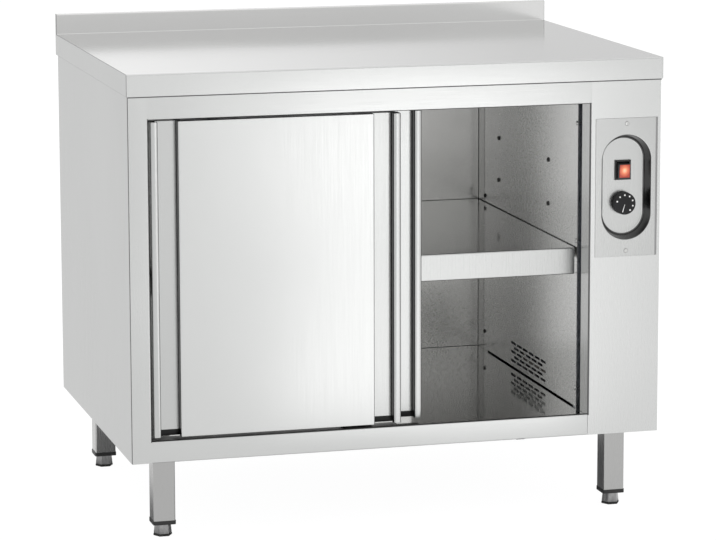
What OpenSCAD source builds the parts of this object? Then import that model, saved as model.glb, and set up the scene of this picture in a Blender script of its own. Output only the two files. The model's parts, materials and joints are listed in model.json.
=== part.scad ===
// Plate warmer cabinet: a free-standing stainless hot cupboard with two sliding doors, one shelf,
// a control compartment on the right and four adjustable feet.
// The origin is on the floor under the middle of the worktop: +X right, +Y to the back, +Z up.

/* [Worktop] */
// Width of the worktop
worktop_w = 1000; // [960:10:1300]
// Depth of the worktop
worktop_d = 700; // [690:5:800]
// Height of the worktop's surface above the floor
worktop_z = 850; // [840:5:900]
// Height of the folded skirt round the worktop
skirt_h = 40; // [30:1:50]
// Height of the upstand above the worktop
upstand_h = 40; // [20:1:100]
// Thickness of the folded upstand
upstand_t = 10; // [8:1:25]
// Thickness of the worktop sheet
top_sheet = 1.5; // [1:0.1:2]
// How far the worktop stands out in front of the body
overhang_front = 2; // [2:0.5:6]
// How far the worktop stands out at each side of the body
overhang_side = 2; // [2:0.5:6]
// How far the worktop stands out behind the body
overhang_back = 8; // [4:1:20]

/* [Body] */
// Height of the body's underside above the floor
base_z = 150; // [140:1:160]
// Thickness of the body sheets
sheet = 1.2; // [0.8:0.1:1.5]
// Middle radius of every sheet bend
bend_r = 2; // [1.5:0.1:3]
// Width of the post left of the opening
post_w = 36; // [32:1:50]
// Width of the control compartment's front, right of the opening
control_w = 138; // [134:1:160]
// Height of the rail above the opening, below the worktop's skirt
top_rail_h = 42; // [42:1:60]
// Height of the rail below the opening
bottom_rail_h = 40; // [36:1:50]
// Depth of the folded jambs beside the doors
jamb_d = 46; // [46:1:50]
// How far the cavity floor lies below the bottom rail's top
floor_drop = 3.5; // [2:0.5:6]

/* [Cavity] */
// Open gap between a jamb and the liner behind it
liner_gap = 21; // [21:1:24]
// Depth of the folded strips at the back of the cavity
rear_strip = 42; // [30:1:60]
// Height of the air gap under the right liner
air_gap = 3; // [3:0.5:6]
// Depth of the air space between the right liner and the partition
plenum_d = 40; // [34:1:44]
// Rows of vent slots
vent_rows = 5; // [3:1:6]
// Slots in the longer rows
vent_cols = 6; // [4:1:6]
// Length of a vent slot
slot_l = 32; // [20:1:32]
// Height of a vent slot
slot_h = 5; // [3:0.5:6]
// Distance between the vent rows
row_pitch = 9; // [8:0.5:11]
// Distance between the slots of a row
slot_pitch = 37; // [35:1:40]

/* [Shelf] */
// Height of the shelf's surface above the cavity floor
shelf_h = 304; // [250:1:340]
// Height of the shelf's front edge
shelf_front_h = 50; // [30:1:60]
// Height of the shelf's side and rear edges
shelf_edge_h = 20; // [12:1:28]
// Distance between the shelf's front and the jambs
shelf_setback = 27; // [24:1:40]
// Distance between the holes for the shelf pegs
peg_pitch = 84; // [60:1:100]
// Diameter of a shelf peg
peg_d = 12; // [10:1:14]
// Play between the shelf and the liner at each side
shelf_play = 3; // [3:0.5:6]

/* [Doors] */
// Width of a door
door_w = 460; // [440:1:465]
// Thickness of a door
door_t = 25; // [25:0.5:26]
// Free space above a door, up to the top rail
door_top_gap = 5; // [5:0.5:10]
// Free space under a door, down to the cavity floor
door_floor_gap = 7; // [4:0.5:8]
// Distance from the left jamb to the left door when it is shut
door_side_gap = 6; // [4:0.5:12]
// Distance from the front of the body to the front door
door_recess = 8.5; // [8:0.5:9]
// Free space between the two doors
door_lane_gap = 3; // [2.5:0.5:4]
// How far the right door stands open
door_open = 304; // [0:1:340]
// Width of the recessed pull at each door edge
pull_w = 50; // [46:1:56]
// Width of the lip at the door's edge
lip_w = 14; // [10:1:16]
// Depth of the pull's recess
pull_depth = 18; // [18:0.5:18.5]
// Depth of the folded walls beside the recess
fold_d = 13; // [11:0.5:13.5]
// Distance from a door's edge to the middle of a hanger
hanger_inset = 71; // [70:1:110]
// Diameter of a roller's groove
roller_d = 18; // [16:1:20]

/* [Controls] */
// Width of the control plate
plate_w = 120; // [116:1:124]
// Height of the control plate
plate_h = 257; // [250:1:270]
// Width of the plate's pressed dish at its rim
dish_w = 95; // [92:1:100]
// Height of the plate's pressed dish at its rim
dish_h = 194; // [190:1:210]
// Depth of the pressed dish
dish_d = 22; // [20:0.5:26]
// How much the dish narrows at each side
dish_draft = 6; // [4:0.5:8]
// Height of the plate's middle above the body's underside
plate_z = 461.5; // [420:0.5:500]
// Diameter of the thermostat knob
knob_d = 42; // [36:1:46]
// Height of the knob
knob_h = 14.5; // [12:0.5:17]
// Width of the switch bezel
switch_w = 31; // [28:0.5:34]
// Height of the switch bezel
switch_h = 37; // [35:0.5:40]

/* [Legs] */
// Width of a square leg tube
leg_w = 40; // [36:1:50]
// Wall of a leg tube
leg_wall = 1.5; // [1.2:0.1:2]
// Distance from the worktop's edge to a leg
leg_inset = 50; // [40:1:80]
// Height of a foot, from the floor to the leg's plastic plug
foot_h = 23; // [18:1:30]
// Height of the plug's visible collar
collar_h = 7; // [5:0.5:10]
// Distance across the corners of a foot's base
foot_d = 34; // [30:1:38]
// Diameter of a foot's threaded stud
stud_d = 10; // [8:1:12]
// Travel of a foot when it is screwed out
foot_travel = 50; // [30:1:50]

/* [Hidden] */
$fn = 48;
BEND_STEPS = 3;
TOUCH = 0.3;      // clearance between pieces that seat on each other
PIN_PLAY = 0.05;  // radial clearance of a running fit

// Body outline
half = sheet / 2;
body_x0 = -worktop_w / 2 + overhang_side;
body_x1 = worktop_w / 2 - overhang_side;
front_y = -worktop_d / 2 + overhang_front;
back_y = worktop_d / 2 - overhang_back;
body_top = worktop_z - top_sheet - TOUCH;
corner_step = 2.5;  // the side panels start this far behind the front faces
flange = 16;
seam = 0.4;

// Opening and cavity
open_x0 = body_x0 + post_w;
open_x1 = body_x1 - control_w;
open_z0 = base_z + bottom_rail_h;
open_z1 = worktop_z - skirt_h - top_rail_h;
floor_z = open_z0 - floor_drop;
jamb_y = front_y + jamb_d;
liner_y0 = jamb_y + liner_gap;
cavity_y1 = back_y - 4;
liner_y1 = cavity_y1 - rear_strip;
liner_top = worktop_z - skirt_h - 10;
partition_x = open_x1 + plenum_d + 2;

// Shelf
shelf_top = floor_z + shelf_h;
shelf_y0 = jamb_y + shelf_setback;
shelf_y1 = cavity_y1 - sheet - 3;
shelf_x0 = open_x0 + shelf_play;
shelf_x1 = open_x1 - shelf_play;
peg_ys = [liner_y0 + 171, liner_y0 + 481];
peg_z = shelf_top - shelf_edge_h - peg_d / 2;
peg_l = 13;
peg_shank = 6;
screw_zs = [floor_z + 38, floor_z + 317, floor_z + 537];
screw_ys = [liner_y0 + 6, liner_y1 - 6];
screw_d = 4;
batten_w = 22;

// Doors
door_z0 = floor_z + door_floor_gap;
door_z1 = open_z1 - door_top_gap;
lane_front = front_y + door_recess;
lane_rear = lane_front + door_t + door_lane_gap;
left_door_x = open_x0 + door_side_gap;
right_door_x = open_x1 - 5 - door_w - door_open;
plate_v = 14.6;     // depth of a hanger plate behind the door's front
hanger_t = 2.8;
hanger_w = 28;
roller_v = 9.7;     // depth of a roller's middle behind the door's front
roller_w = 8;
roller_rim = 3;
axle_r = 3;
track_t = 1.5;
track_web_z = open_z1 + sheet + 1.2;
track_lip_z = track_web_z + 8;
roller_z = track_lip_z + roller_d / 2 + 0.1;
track_top_z = worktop_z - skirt_h - 5;
guide_x = (open_x0 + open_x1) / 2 - 24;

// Controls
plate_x = (open_x1 + body_x1) / 2 + 2;
plate_mid = base_z + plate_z;
dish_y = front_y - sheet + dish_d;
switch_z = plate_mid + 29.5;
knob_z = plate_mid - 31.5;
bezel_t = 2.5;
switch_open_w = switch_w - 6.5;
switch_open_h = switch_h - 6.5;
switch_d = 26;
rocker_pivot = 9;
shaft_r = 3;
knob_lift = 1.5;

// Fan
fan_x = partition_x + 50;
fan_y = liner_y0 + 288;
fan_z = floor_z + 78;
rotor_r = 26;
rotor_l = 200;
duct_l = 214;
duct_z0 = floor_z + 4;
duct_z1 = floor_z + 54;
blades = 16;

// Legs
foot_z = foot_h + collar_h;
leg_x = worktop_w / 2 - leg_inset - leg_w / 2;
leg_y = worktop_d / 2 - leg_inset - leg_w / 2;
leg_plate_w = leg_w + 26;
leg_plate_t = 3;
bolt_at = leg_plate_w / 2 - 7;
pad_h = 4;
channel_w = 80;

// Colours
STEEL = [0.80, 0.81, 0.81];
INNER = [0.62, 0.63, 0.63];
ZINC = [0.70, 0.71, 0.73];
BLACK = [0.06, 0.06, 0.06];
AMBER = [0.95, 0.35, 0.15];
NYLON = [0.90, 0.90, 0.88];

// Folded sheet: a path along the sheet's middle, with a round bend at each corner
function unit(v) = v / norm(v);
function left_of(d) = [-d.y, d.x];
function back_to_front(p) = [for (i = [len(p) - 1:-1:0]) p[i]];
function bend_points(a, b, c, side, r) =
  let (d1 = unit(b - a), d2 = unit(c - b), turn = sign(d1.x * d2.y - d1.y * d2.x),
       angle = acos(d1 * d2), centre = b - d1 * r * tan(angle / 2) + left_of(d1) * turn * r,
       first = -turn * left_of(d1), a0 = atan2(first.y, first.x))
  [for (k = [0:BEND_STEPS]) let (w = a0 + turn * angle * k / BEND_STEPS)
    centre + (r - turn * side) * [cos(w), sin(w)]];
function side_points(p, side, r = bend_r) = concat(
  [p[0] + side * left_of(unit(p[1] - p[0]))],
  [for (i = [1:1:len(p) - 2]) each bend_points(p[i - 1], p[i], p[i + 1], side, r)],
  [p[len(p) - 1] + side * left_of(unit(p[len(p) - 1] - p[len(p) - 2]))]);
module folded(p, t = sheet, r = bend_r)
  polygon(concat(side_points(p, t / 2, r), back_to_front(side_points(p, -t / 2, r))));

// Extrusions along each axis, and a box between two corners
module along_x(x0, x1) translate([x0, 0, 0]) rotate([90, 0, 90]) linear_extrude(x1 - x0) children();
module along_y(y0, y1) translate([0, y1, 0]) rotate([90, 0, 0]) linear_extrude(y1 - y0) children();
module along_z(z0, z1) translate([0, 0, z0]) linear_extrude(z1 - z0) children();
module slab(lo, hi) translate(lo) cube(hi - lo);
module rod_x(d, x0, x1, y, z) translate([x0, y, z]) rotate([0, 90, 0]) cylinder(d = d, h = x1 - x0);
module rod_y(d, y0, y1, x, z) translate([x, y1, z]) rotate([90, 0, 0]) cylinder(d = d, h = y1 - y0);

// Worktop
worktop_path = [
  [-worktop_d / 2 + top_sheet / 2, worktop_z - skirt_h],
  [-worktop_d / 2 + top_sheet / 2, worktop_z - top_sheet / 2],
  [worktop_d / 2 - upstand_t + top_sheet / 2, worktop_z - top_sheet / 2],
  [worktop_d / 2 - upstand_t + top_sheet / 2, worktop_z + upstand_h - top_sheet / 2],
  [worktop_d / 2 - top_sheet / 2, worktop_z + upstand_h - top_sheet / 2],
  [worktop_d / 2 - top_sheet / 2, worktop_z - skirt_h]];

module worktop() {
  color(STEEL) union() {
    along_x(-worktop_w / 2, worktop_w / 2) folded(worktop_path, top_sheet);
    for (x = [-worktop_w / 2, worktop_w / 2 - top_sheet])
      along_x(x, x + top_sheet) polygon(side_points(worktop_path, top_sheet / 2));
  }
}

// An upside-down hat channel along X, hung from z1 or standing on z0
module hat_channel(x0, x1, y, z0, z1, w, brim, up) {
  base = up ? z0 + half : z1 - half;
  crown = up ? z1 - half : z0 + half;
  along_x(x0, x1) folded([[y - w / 2 - brim, base], [y - w / 2, base], [y - w / 2, crown],
    [y + w / 2, crown], [y + w / 2, base], [y + w / 2 + brim, base]]);
}

module worktop_stiffeners() {
  color(ZINC) for (y = [-worktop_d / 4, worktop_d / 4])
    hat_channel(open_x0 - 20, partition_x - 3, y, body_top - 30, body_top, 60, 20, false);
}

// Outer shell
module side_panel(x, inward) {
  edge = x + inward * flange;
  wall = x + inward * half;
  along_z(base_z, body_top) folded([[edge, front_y + corner_step + half], [wall, front_y + corner_step + half],
    [wall, back_y - sheet - TOUCH - half], [edge, back_y - sheet - TOUCH - half]]);
  slab([min(x, edge), front_y + corner_step + flange, base_z],
    [max(x, edge), back_y - sheet - TOUCH - flange, base_z + sheet]);
}
module left_side_panel() color(STEEL) side_panel(body_x0, 1);
module right_side_panel() color(STEEL) side_panel(body_x1, -1);

louvre_w = 60;
gland_x = partition_x + 50;
gland_z = base_z + 90;
gland_d = 20;
module back_panel() {
  color(STEEL) difference() {
    union() {
      along_x(body_x0 + flange + 1, body_x1 - flange - 1) folded([[back_y - 8, body_top - half],
        [back_y - half, body_top - half], [back_y - half, base_z + half], [back_y - flange, base_z + half]]);
      for (x = [[body_x0 + 1, body_x0 + flange + 2], [body_x1 - flange - 2, body_x1 - 1]])
        slab([x[0], back_y - sheet, base_z], [x[1], back_y, body_top]);
    }
    for (i = [0:7]) slab([gland_x - louvre_w / 2, back_y - 5, body_top - 220 + 16 * i],
      [gland_x + louvre_w / 2, back_y + 5, body_top - 215 + 16 * i]);
    rod_y(gland_d + 0.4, back_y - 5, back_y + 5, gland_x, gland_z);
  }
}

module base_panel() {
  z = base_z + sheet + TOUCH;
  y = front_y + corner_step + sheet + TOUCH + half;
  color(ZINC) difference() {
    along_x(body_x0 + sheet + bend_r, body_x1 - sheet - bend_r) folded([
      [y, z + flange], [y, z + half],
      [back_y - flange - 4, z + half], [back_y - flange - 4, z + flange]]);
    at_legs() at_bolts() cylinder(d = 8.6, h = 20, center = true);
  }
}

module base_channels() {
  color(ZINC) difference() {
    for (y = [-leg_y, leg_y])
      hat_channel(body_x0 + 4, body_x1 - 4, y, base_z + 2 * sheet + 2 * TOUCH, floor_z - sheet - TOUCH,
        channel_w, 12, false);
    at_legs() at_bolts() cylinder(d = 8.6, h = 20, center = true);
  }
}

// Front frame
module front_left_post() {
  color(STEEL) union() {
    along_z(floor_z + TOUCH, body_top) folded([[body_x0 + 1, front_y + half], [open_x0 - half, front_y + half],
      [open_x0 - half, jamb_y - half], [open_x0 - flange, jamb_y - half]]);
    slab([body_x0 + 1, front_y, base_z], [open_x0, front_y + sheet, floor_z + 1]);
  }
}

module front_top_rail() {
  color(STEEL) along_x(open_x0 + seam, open_x1 - seam) folded([[front_y + flange, body_top - half],
    [front_y + half, body_top - half], [front_y + half, open_z1 + half], [front_y + 14, open_z1 + half]]);
}

module front_bottom_rail() {
  color(STEEL) along_x(open_x0 + seam, open_x1 - seam) folded([[front_y + 25, base_z + half],
    [front_y + half, base_z + half], [front_y + half, open_z0 - half], [front_y + 7, open_z0 - half],
    [front_y + 7, floor_z - 8]]);
}

// A stadium standing on end, in the X-Z plane
module stadium_cut(w, h, y0, y1) {
  for (s = [-1, 1]) rod_y(w, y0, y1, plate_x, plate_mid + s * (h - w) / 2);
  slab([plate_x - w / 2, y0, plate_mid - (h - w) / 2], [plate_x + w / 2, y1, plate_mid + (h - w) / 2]);
}

module control_front_panel() {
  color(STEEL) difference() {
    union() {
      along_z(floor_z + TOUCH, body_top) folded([[open_x1 + flange, jamb_y - half], [open_x1 + half, jamb_y - half],
        [open_x1 + half, front_y + half], [body_x1 - 1, front_y + half]]);
      slab([open_x1, front_y, base_z], [body_x1 - 1, front_y + sheet, floor_z + 1]);
    }
    stadium_cut(dish_w + 3, dish_h + 3, front_y - 2, front_y + 5);
    for (s = [-1, 1]) rod_y(screw_d + 0.4, front_y - 2, front_y + 5, plate_x, plate_mid + s * (plate_h / 2 - 10.5));
  }
}

// Cavity
module cavity_floor() {
  color(INNER) union() {
    along_x(open_x0 + seam, open_x1 - seam) folded([[front_y + 9, floor_z - 14], [front_y + 9, floor_z - half],
      [jamb_y + 5, floor_z - half]]);
    along_x(open_x0 - 8, partition_x + flange) folded([[jamb_y + 1, floor_z - half], [cavity_y1 - 3, floor_z - half],
      [cavity_y1 - 3, floor_z - 14]]);
  }
}

module cavity_back() {
  color(INNER) along_z(floor_z + TOUCH, body_top - 30) folded([[open_x0 - half, liner_y1 + seam],
    [open_x0 - half, cavity_y1 - half], [open_x1 + half, cavity_y1 - half], [open_x1 + half, liner_y1 + seam]]);
}

module peg_holes(x) {
  for (y = peg_ys, k = [0:2]) rod_x(peg_shank + 0.4, x - 3, x + 3, y, peg_z + k * peg_pitch);
}
module screw_holes(x, reach) {
  for (y = screw_ys, z = screw_zs) rod_x(screw_d + 0.4, x - reach, x + reach, y, z);
}
module liner(x, outward) {
  wall = x + outward * half;
  edge = x + outward * flange;
  difference() {
    along_z(floor_z + TOUCH, liner_top) folded([[wall, liner_y0], [wall, liner_y1 - half],
      [edge, liner_y1 - half]]);
    peg_holes(x);
    screw_holes(x, 3);
  }
}
module left_liner() color(INNER) liner(open_x0, -1);

// A slot with round ends, cut through the right liner
module vent_slot(y, z) {
  for (s = [-1, 1]) rod_x(slot_h, open_x1 - 2, open_x1 + 4, y + s * (slot_l - slot_h) / 2, z);
  slab([open_x1 - 2, y - (slot_l - slot_h) / 2, z - slot_h / 2], [open_x1 + 4, y + (slot_l - slot_h) / 2, z + slot_h / 2]);
}
vent_z = floor_z + 14;
module right_liner() {
  color(INNER) difference() {
    liner(open_x1, 1);
    for (r = [0:vent_rows - 1]) {
      count = vent_cols - (r % 2);
      for (i = [0:count - 1]) vent_slot(fan_y + (i - (count - 1) / 2) * slot_pitch, vent_z + r * row_pitch);
    }
    slab([open_x1 - 1, liner_y0 + 4, floor_z], [open_x1 + flange + 1, liner_y1 - 28, floor_z + air_gap]);
  }
}

// U channels that hold the liners off the walls behind them, from their web at y to their open side
module batten(x0, x1, y, reach) {
  low = min(x0, x1) + half;
  high = max(x0, x1) - half;
  along_z(floor_z + TOUCH, liner_top - 20) folded([[low, y + reach], [low, y], [high, y], [high, y + reach]]);
}
module liner_battens() {
  left_in = open_x0 - sheet - TOUCH;
  left_out = body_x0 + sheet + TOUCH;
  right_in = open_x1 + sheet + TOUCH;
  right_out = partition_x - TOUCH;
  color(ZINC) difference() {
    for (end = [[liner_y0 + batten_w, 1 - batten_w], [liner_y1 - sheet - TOUCH - half, -batten_w]]) {
      batten(left_out, left_in, end[0], end[1]);
      batten(right_in, right_out, end[0], end[1]);
    }
    screw_holes(left_in, 3);
    screw_holes(right_in, 3);
  }
}

module partition() {
  lap = jamb_y + TOUCH + half;
  color(ZINC) difference() {
    along_z(floor_z + TOUCH, body_top - sheet - TOUCH) folded([[open_x1 + 6, lap], [partition_x + half, lap],
      [partition_x + half, cavity_y1 + 1], [partition_x + flange, cavity_y1 + 1]]);
    slab([partition_x - 3, fan_y - duct_l / 2 - 2, duct_z0 - 2],
      [partition_x + 5, fan_y + duct_l / 2 + 2, duct_z1 + 2]);
    for (i = [-1, 0, 1]) rod_x(60, partition_x - 3, partition_x + 5, fan_y + i * 80, fan_z + 130);
  }
}

// A pan-head screw along X, with its head at x and its shank running outward
module pan_screw_x(x, y, z, outward) {
  translate([x, y, z]) rotate([0, outward * 90, 0]) difference() {
    union() {
      translate([0, 0, -2.2]) cylinder(d1 = screw_d + 2, d2 = screw_d * 2, h = 1);
      translate([0, 0, -1.2]) cylinder(d = screw_d * 2, h = 1.2);
      cylinder(d = screw_d, h = 8);
    }
    for (a = [0, 90]) rotate([0, 0, a]) translate([-2.2, -0.4, -2.3]) cube([4.4, 0.8, 1.4]);
  }
}
module liner_screws() {
  color(ZINC) for (y = screw_ys, z = screw_zs) {
    pan_screw_x(open_x0, y, z, -1);
    pan_screw_x(open_x1, y, z, 1);
  }
}

module peg_x(x, y, outward) {
  translate([x, y, peg_z]) rotate([0, outward * 90, 0]) {
    translate([0, 0, -peg_l]) cylinder(d = peg_d, h = peg_l - TOUCH);
    translate([0, 0, -1]) cylinder(d = peg_shank, h = 10);
    translate([0, 0, sheet + TOUCH]) difference() {
      cylinder(d = 11, h = 5, $fn = 6);
      translate([0, 0, -1]) cylinder(d = peg_shank - 0.01, h = 7);
    }
  }
}
module shelf_pegs() {
  color(ZINC) for (y = peg_ys) {
    peg_x(open_x0, y, -1);
    peg_x(open_x1, y, 1);
  }
}

module shelf() {
  color(STEEL) union() {
    along_x(shelf_x0, shelf_x1) folded([[shelf_y0 + 12, shelf_top - shelf_front_h + half],
      [shelf_y0 + half, shelf_top - shelf_front_h + half], [shelf_y0 + half, shelf_top - half],
      [shelf_y1 - half, shelf_top - half], [shelf_y1 - half, shelf_top - shelf_edge_h]]);
    for (x = [shelf_x0, shelf_x1 - sheet])
      slab([x, shelf_y0 + half, shelf_top - shelf_edge_h], [x + sheet, shelf_y1 - half, shelf_top - half]);
  }
}

// Sliding door gear: one sheet profile with two lips that the rollers run on
module track_hook(lane) {
  web = lane - 4;
  folded([[web, track_top_z - half], [web, track_web_z], [lane + roller_v, track_web_z],
    [lane + roller_v, track_lip_z]], track_t);
}
module top_track() {
  color(ZINC) union() {
    for (lane = [lane_front, lane_rear]) along_x(open_x0 + seam, open_x1 - seam) track_hook(lane);
    slab([open_x0 + seam, lane_front - 4 - track_t / 2, track_top_z - track_t],
      [open_x1 - seam, jamb_y - track_t / 2, track_top_z]);
  }
}

// The block on the sill whose two tongues run in the doors' bottom slots
module door_guide() {
  tongue_v = (plate_v + pull_depth) / 2 - 0.4;
  color(NYLON) union() {
    slab([guide_x - 25, lane_front + 6, floor_z + TOUCH / 2], [guide_x + 25, lane_rear + 22, floor_z + 3]);
    for (lane = [lane_front, lane_rear])
      slab([guide_x - 15, lane + tongue_v - 1, floor_z + 2], [guide_x + 15, lane + tongue_v + 1, door_z0 + 7]);
  }
}

// Doors, drawn from the left edge x and the front plane y
module door_front(x, y) {
  x0 = x + pull_w + half;
  x1 = x + door_w - pull_w - half;
  along_z(door_z0, door_z1) folded([[x0, y + fold_d], [x0, y + half], [x1, y + half], [x1, y + fold_d]]);
  slab([x0, y + half, door_z0], [x1, y + fold_d, door_z0 + sheet]);
  slab([x0, y + half, door_z1 - sheet], [x1, y + plate_v - TOUCH, door_z1]);
}

module door_back(x, y) {
  x0 = x + pull_w + 14;
  x1 = x + door_w - pull_w - 14;
  along_x(x0, x1) folded([[y + pull_depth + 0.6, door_z1 - half], [y + door_t - half, door_z1 - half],
    [y + door_t - half, door_z0 + half], [y + pull_depth + 0.6, door_z0 + half]]);
  for (e = [[x, x0 + 1], [x1 - 1, x + door_w]])
    slab([e[0], y + door_t - sheet, door_z0], [e[1], y + door_t, door_z1]);
  for (cx = [x + door_w * 0.35, x + door_w * 0.65])
    along_z(door_z0 + 12, door_z1 - 12) folded([[cx - 24, y + door_t - 3 * half], [cx - 12, y + door_t - 3 * half],
      [cx - 12, y + sheet + TOUCH + half], [cx + 12, y + sheet + TOUCH + half],
      [cx + 12, y + door_t - 3 * half], [cx + 24, y + door_t - 3 * half]]);
}

// One pull: a lip folded round the door's edge, and the recess's floor behind it
module pull_profile() {
  rear = door_t - sheet - TOUCH;
  folded([[lip_w - half, fold_d], [lip_w - half, half], [half, half], [half, rear - half], [24, rear - half]], sheet, 3);
}
module pull_floor(x0, x1, y) slab([x0, y + pull_depth, door_z0], [x1, y + pull_depth + sheet, door_z1]);
module door_pulls(x, y) {
  along_z(door_z0, door_z1) translate([x, y]) pull_profile();
  along_z(door_z0, door_z1) translate([x + door_w, y]) mirror([1, 0]) pull_profile();
  pull_floor(x + half, x + pull_w + 10, y);
  pull_floor(x + door_w - pull_w - 10, x + door_w - half, y);
}

function hanger_xs(x) = [x + hanger_inset, x + door_w - hanger_inset];
module door_hangers(x, y) {
  for (cx = hanger_xs(x)) {
    slab([cx - hanger_w / 2, y + plate_v, door_z1 - 60], [cx + hanger_w / 2, y + plate_v + hanger_t, roller_z + 12]);
    rod_y(2 * axle_r - 2 * PIN_PLAY, y + roller_v - roller_w / 2 - 0.6, y + plate_v + 1, cx, roller_z);
    rod_y(10, y + roller_v - roller_w / 2 - 2, y + roller_v - roller_w / 2 - 0.5, cx, roller_z);
    rod_y(9, y + roller_v + roller_w / 2 + 0.4, y + plate_v + 1, cx, roller_z);
  }
}

module roller(cx, y) {
  r = roller_d / 2;
  w = roller_w / 2;
  translate([cx, y + roller_v, roller_z]) rotate([90, 0, 0]) rotate_extrude()
    polygon([[axle_r, -w], [r + roller_rim - 0.8, -w], [r + roller_rim, -w + 0.8], [r + roller_rim, -w + 1.4],
      [r, -w + 2], [r, w - 2], [r + roller_rim, w - 1.4], [r + roller_rim, w - 0.8], [r + roller_rim - 0.8, w],
      [axle_r, w]]);
}

module left_door_front() color(STEEL) door_front(left_door_x, lane_front);
module left_door_back() color(INNER) door_back(left_door_x, lane_front);
module left_door_pulls() color(STEEL) door_pulls(left_door_x, lane_front);
module left_door_hangers() color(ZINC) door_hangers(left_door_x, lane_front);
module left_door_roller_left() color(NYLON) roller(hanger_xs(left_door_x)[0], lane_front);
module left_door_roller_right() color(NYLON) roller(hanger_xs(left_door_x)[1], lane_front);
module right_door_front() color(STEEL) door_front(right_door_x, lane_rear);
module right_door_back() color(INNER) door_back(right_door_x, lane_rear);
module right_door_pulls() color(STEEL) door_pulls(right_door_x, lane_rear);
module right_door_hangers() color(ZINC) door_hangers(right_door_x, lane_rear);
module right_door_roller_left() color(NYLON) roller(hanger_xs(right_door_x)[0], lane_rear);
module right_door_roller_right() color(NYLON) roller(hanger_xs(right_door_x)[1], lane_rear);

// Control plate with its pressed dish
module dish_body(w, h, narrow, y0, y1) {
  straight = (h - w) / 2;
  for (s = [-1, 1]) translate([plate_x, y0, plate_mid + s * straight]) rotate([-90, 0, 0])
    cylinder(d1 = w, d2 = w - 2 * narrow, h = y1 - y0);
  along_z(plate_mid - straight, plate_mid + straight) polygon([[plate_x - w / 2, y0], [plate_x + w / 2, y0],
    [plate_x + w / 2 - narrow, y1], [plate_x - w / 2 + narrow, y1]]);
}

module control_plate() {
  y0 = front_y - sheet;
  color(STEEL) difference() {
    union() {
      slab([plate_x - plate_w / 2, y0, plate_mid - plate_h / 2], [plate_x + plate_w / 2, front_y - 0.05, plate_mid + plate_h / 2]);
      dish_body(dish_w + 2 * sheet, dish_h + 2 * sheet, dish_draft, y0 + 0.5, y0 + dish_d + sheet);
    }
    dish_body(dish_w, dish_h, dish_draft, y0 - 0.001, y0 + dish_d);
    slab([plate_x - switch_w / 2 + 2, y0, switch_z - switch_h / 2 + 2],
      [plate_x + switch_w / 2 - 2, y0 + dish_d + 5, switch_z + switch_h / 2 - 2]);
    rod_y(2 * shaft_r + 2, y0, y0 + dish_d + 5, plate_x, knob_z);
    for (s = [-1, 1]) rod_y(screw_d + 0.4, y0 - 1, y0 + 5, plate_x, plate_mid + s * (plate_h / 2 - 10.5));
  }
}

module plate_screws() {
  color(ZINC) for (s = [-1, 1])
    translate([plate_x, front_y - sheet, plate_mid + s * (plate_h / 2 - 10.5)]) rotate([-90, 0, 0]) difference() {
      union() {
        translate([0, 0, -0.7]) cylinder(d1 = screw_d + 2.4, d2 = screw_d * 2, h = 0.7);
        cylinder(d = screw_d, h = 9);
      }
      for (a = [0, 90]) rotate([0, 0, a]) translate([-2.2, -0.4, -1]) cube([4.4, 0.8, 0.8]);
    }
}

module switch_body() {
  y = dish_y;
  color(BLACK) difference() {
    union() {
      slab([plate_x - switch_w / 2, y - bezel_t, switch_z - switch_h / 2], [plate_x + switch_w / 2, y - 0.05, switch_z + switch_h / 2]);
      slab([plate_x - switch_w / 2 + 2.3, y - 1, switch_z - switch_h / 2 + 2.3],
        [plate_x + switch_w / 2 - 2.3, y + switch_d, switch_z + switch_h / 2 - 2.3]);
      for (i = [-1, 1], k = [-1, 1]) slab([plate_x + i * 6 - 3.1, y + switch_d - 1, switch_z + k * 8 - 0.4],
        [plate_x + i * 6 + 3.1, y + switch_d + 9, switch_z + k * 8 + 0.4]);
    }
    slab([plate_x - switch_open_w / 2, y - bezel_t - 1, switch_z - switch_open_h / 2],
      [plate_x + switch_open_w / 2, y + switch_d - 3, switch_z + switch_open_h / 2]);
  }
}

// The rocker turns about X, rocker_pivot behind the bezel's face
rocker_y = dish_y - bezel_t + rocker_pivot;
rocker_tilt = -7;
module switch_rocker() {
  w = switch_open_w - 1;
  reach = switch_open_h / 2 - 1.3;
  color(AMBER) union() {
    translate([0, rocker_y, switch_z]) rotate([-rocker_tilt, 0, 0])
      along_x(plate_x - w / 2, plate_x + w / 2) polygon([[-rocker_pivot - 8.5, -reach + 1.5],
        [-rocker_pivot - 6.6, 0], [-rocker_pivot - 8.5, reach - 1.5], [-rocker_pivot - 6.5, reach],
        [2, reach - 3], [5, 3], [5, -3], [2, -reach + 3], [-rocker_pivot - 6.5, -reach]]);
    rod_x(3, plate_x - w / 2 - 0.4, plate_x + w / 2 + 0.4, rocker_y, switch_z);
  }
}

// Capillary thermostat behind the dish, its shaft and the knob on it
thermostat_y = dish_y + sheet + 0.1;
module thermostat() {
  color(ZINC) union() {
    slab([plate_x - 24, thermostat_y, knob_z - 15], [plate_x + 24, thermostat_y + 1.5, knob_z + 15]);
    slab([plate_x - 17, thermostat_y + 1, knob_z - 14], [plate_x + 17, thermostat_y + 24, knob_z + 14]);
    rod_y(2 * shaft_r, dish_y - knob_h + 2, thermostat_y + 3, plate_x, knob_z);
    for (i = [-1, 1]) slab([plate_x + i * 9 - 3.1, thermostat_y + 23, knob_z - 4.4],
      [plate_x + i * 9 + 3.1, thermostat_y + 33, knob_z - 3.6]);
  }
}

module thermostat_knob() {
  r = knob_d / 2;
  translate([plate_x, dish_y - knob_lift, knob_z]) rotate([90, 0, 0])
    color(BLACK) difference() {
      rotate_extrude() polygon([[0, 0], [r - 1, 0], [r, 1], [r, 2.4], [r - 0.5, 3], [r - 0.7, knob_h - 1.2],
        [r - 1.8, knob_h], [0, knob_h]]);
      translate([0, 0, -1]) cylinder(r = shaft_r + PIN_PLAY, h = knob_h - 1.5);
    }
}

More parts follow.
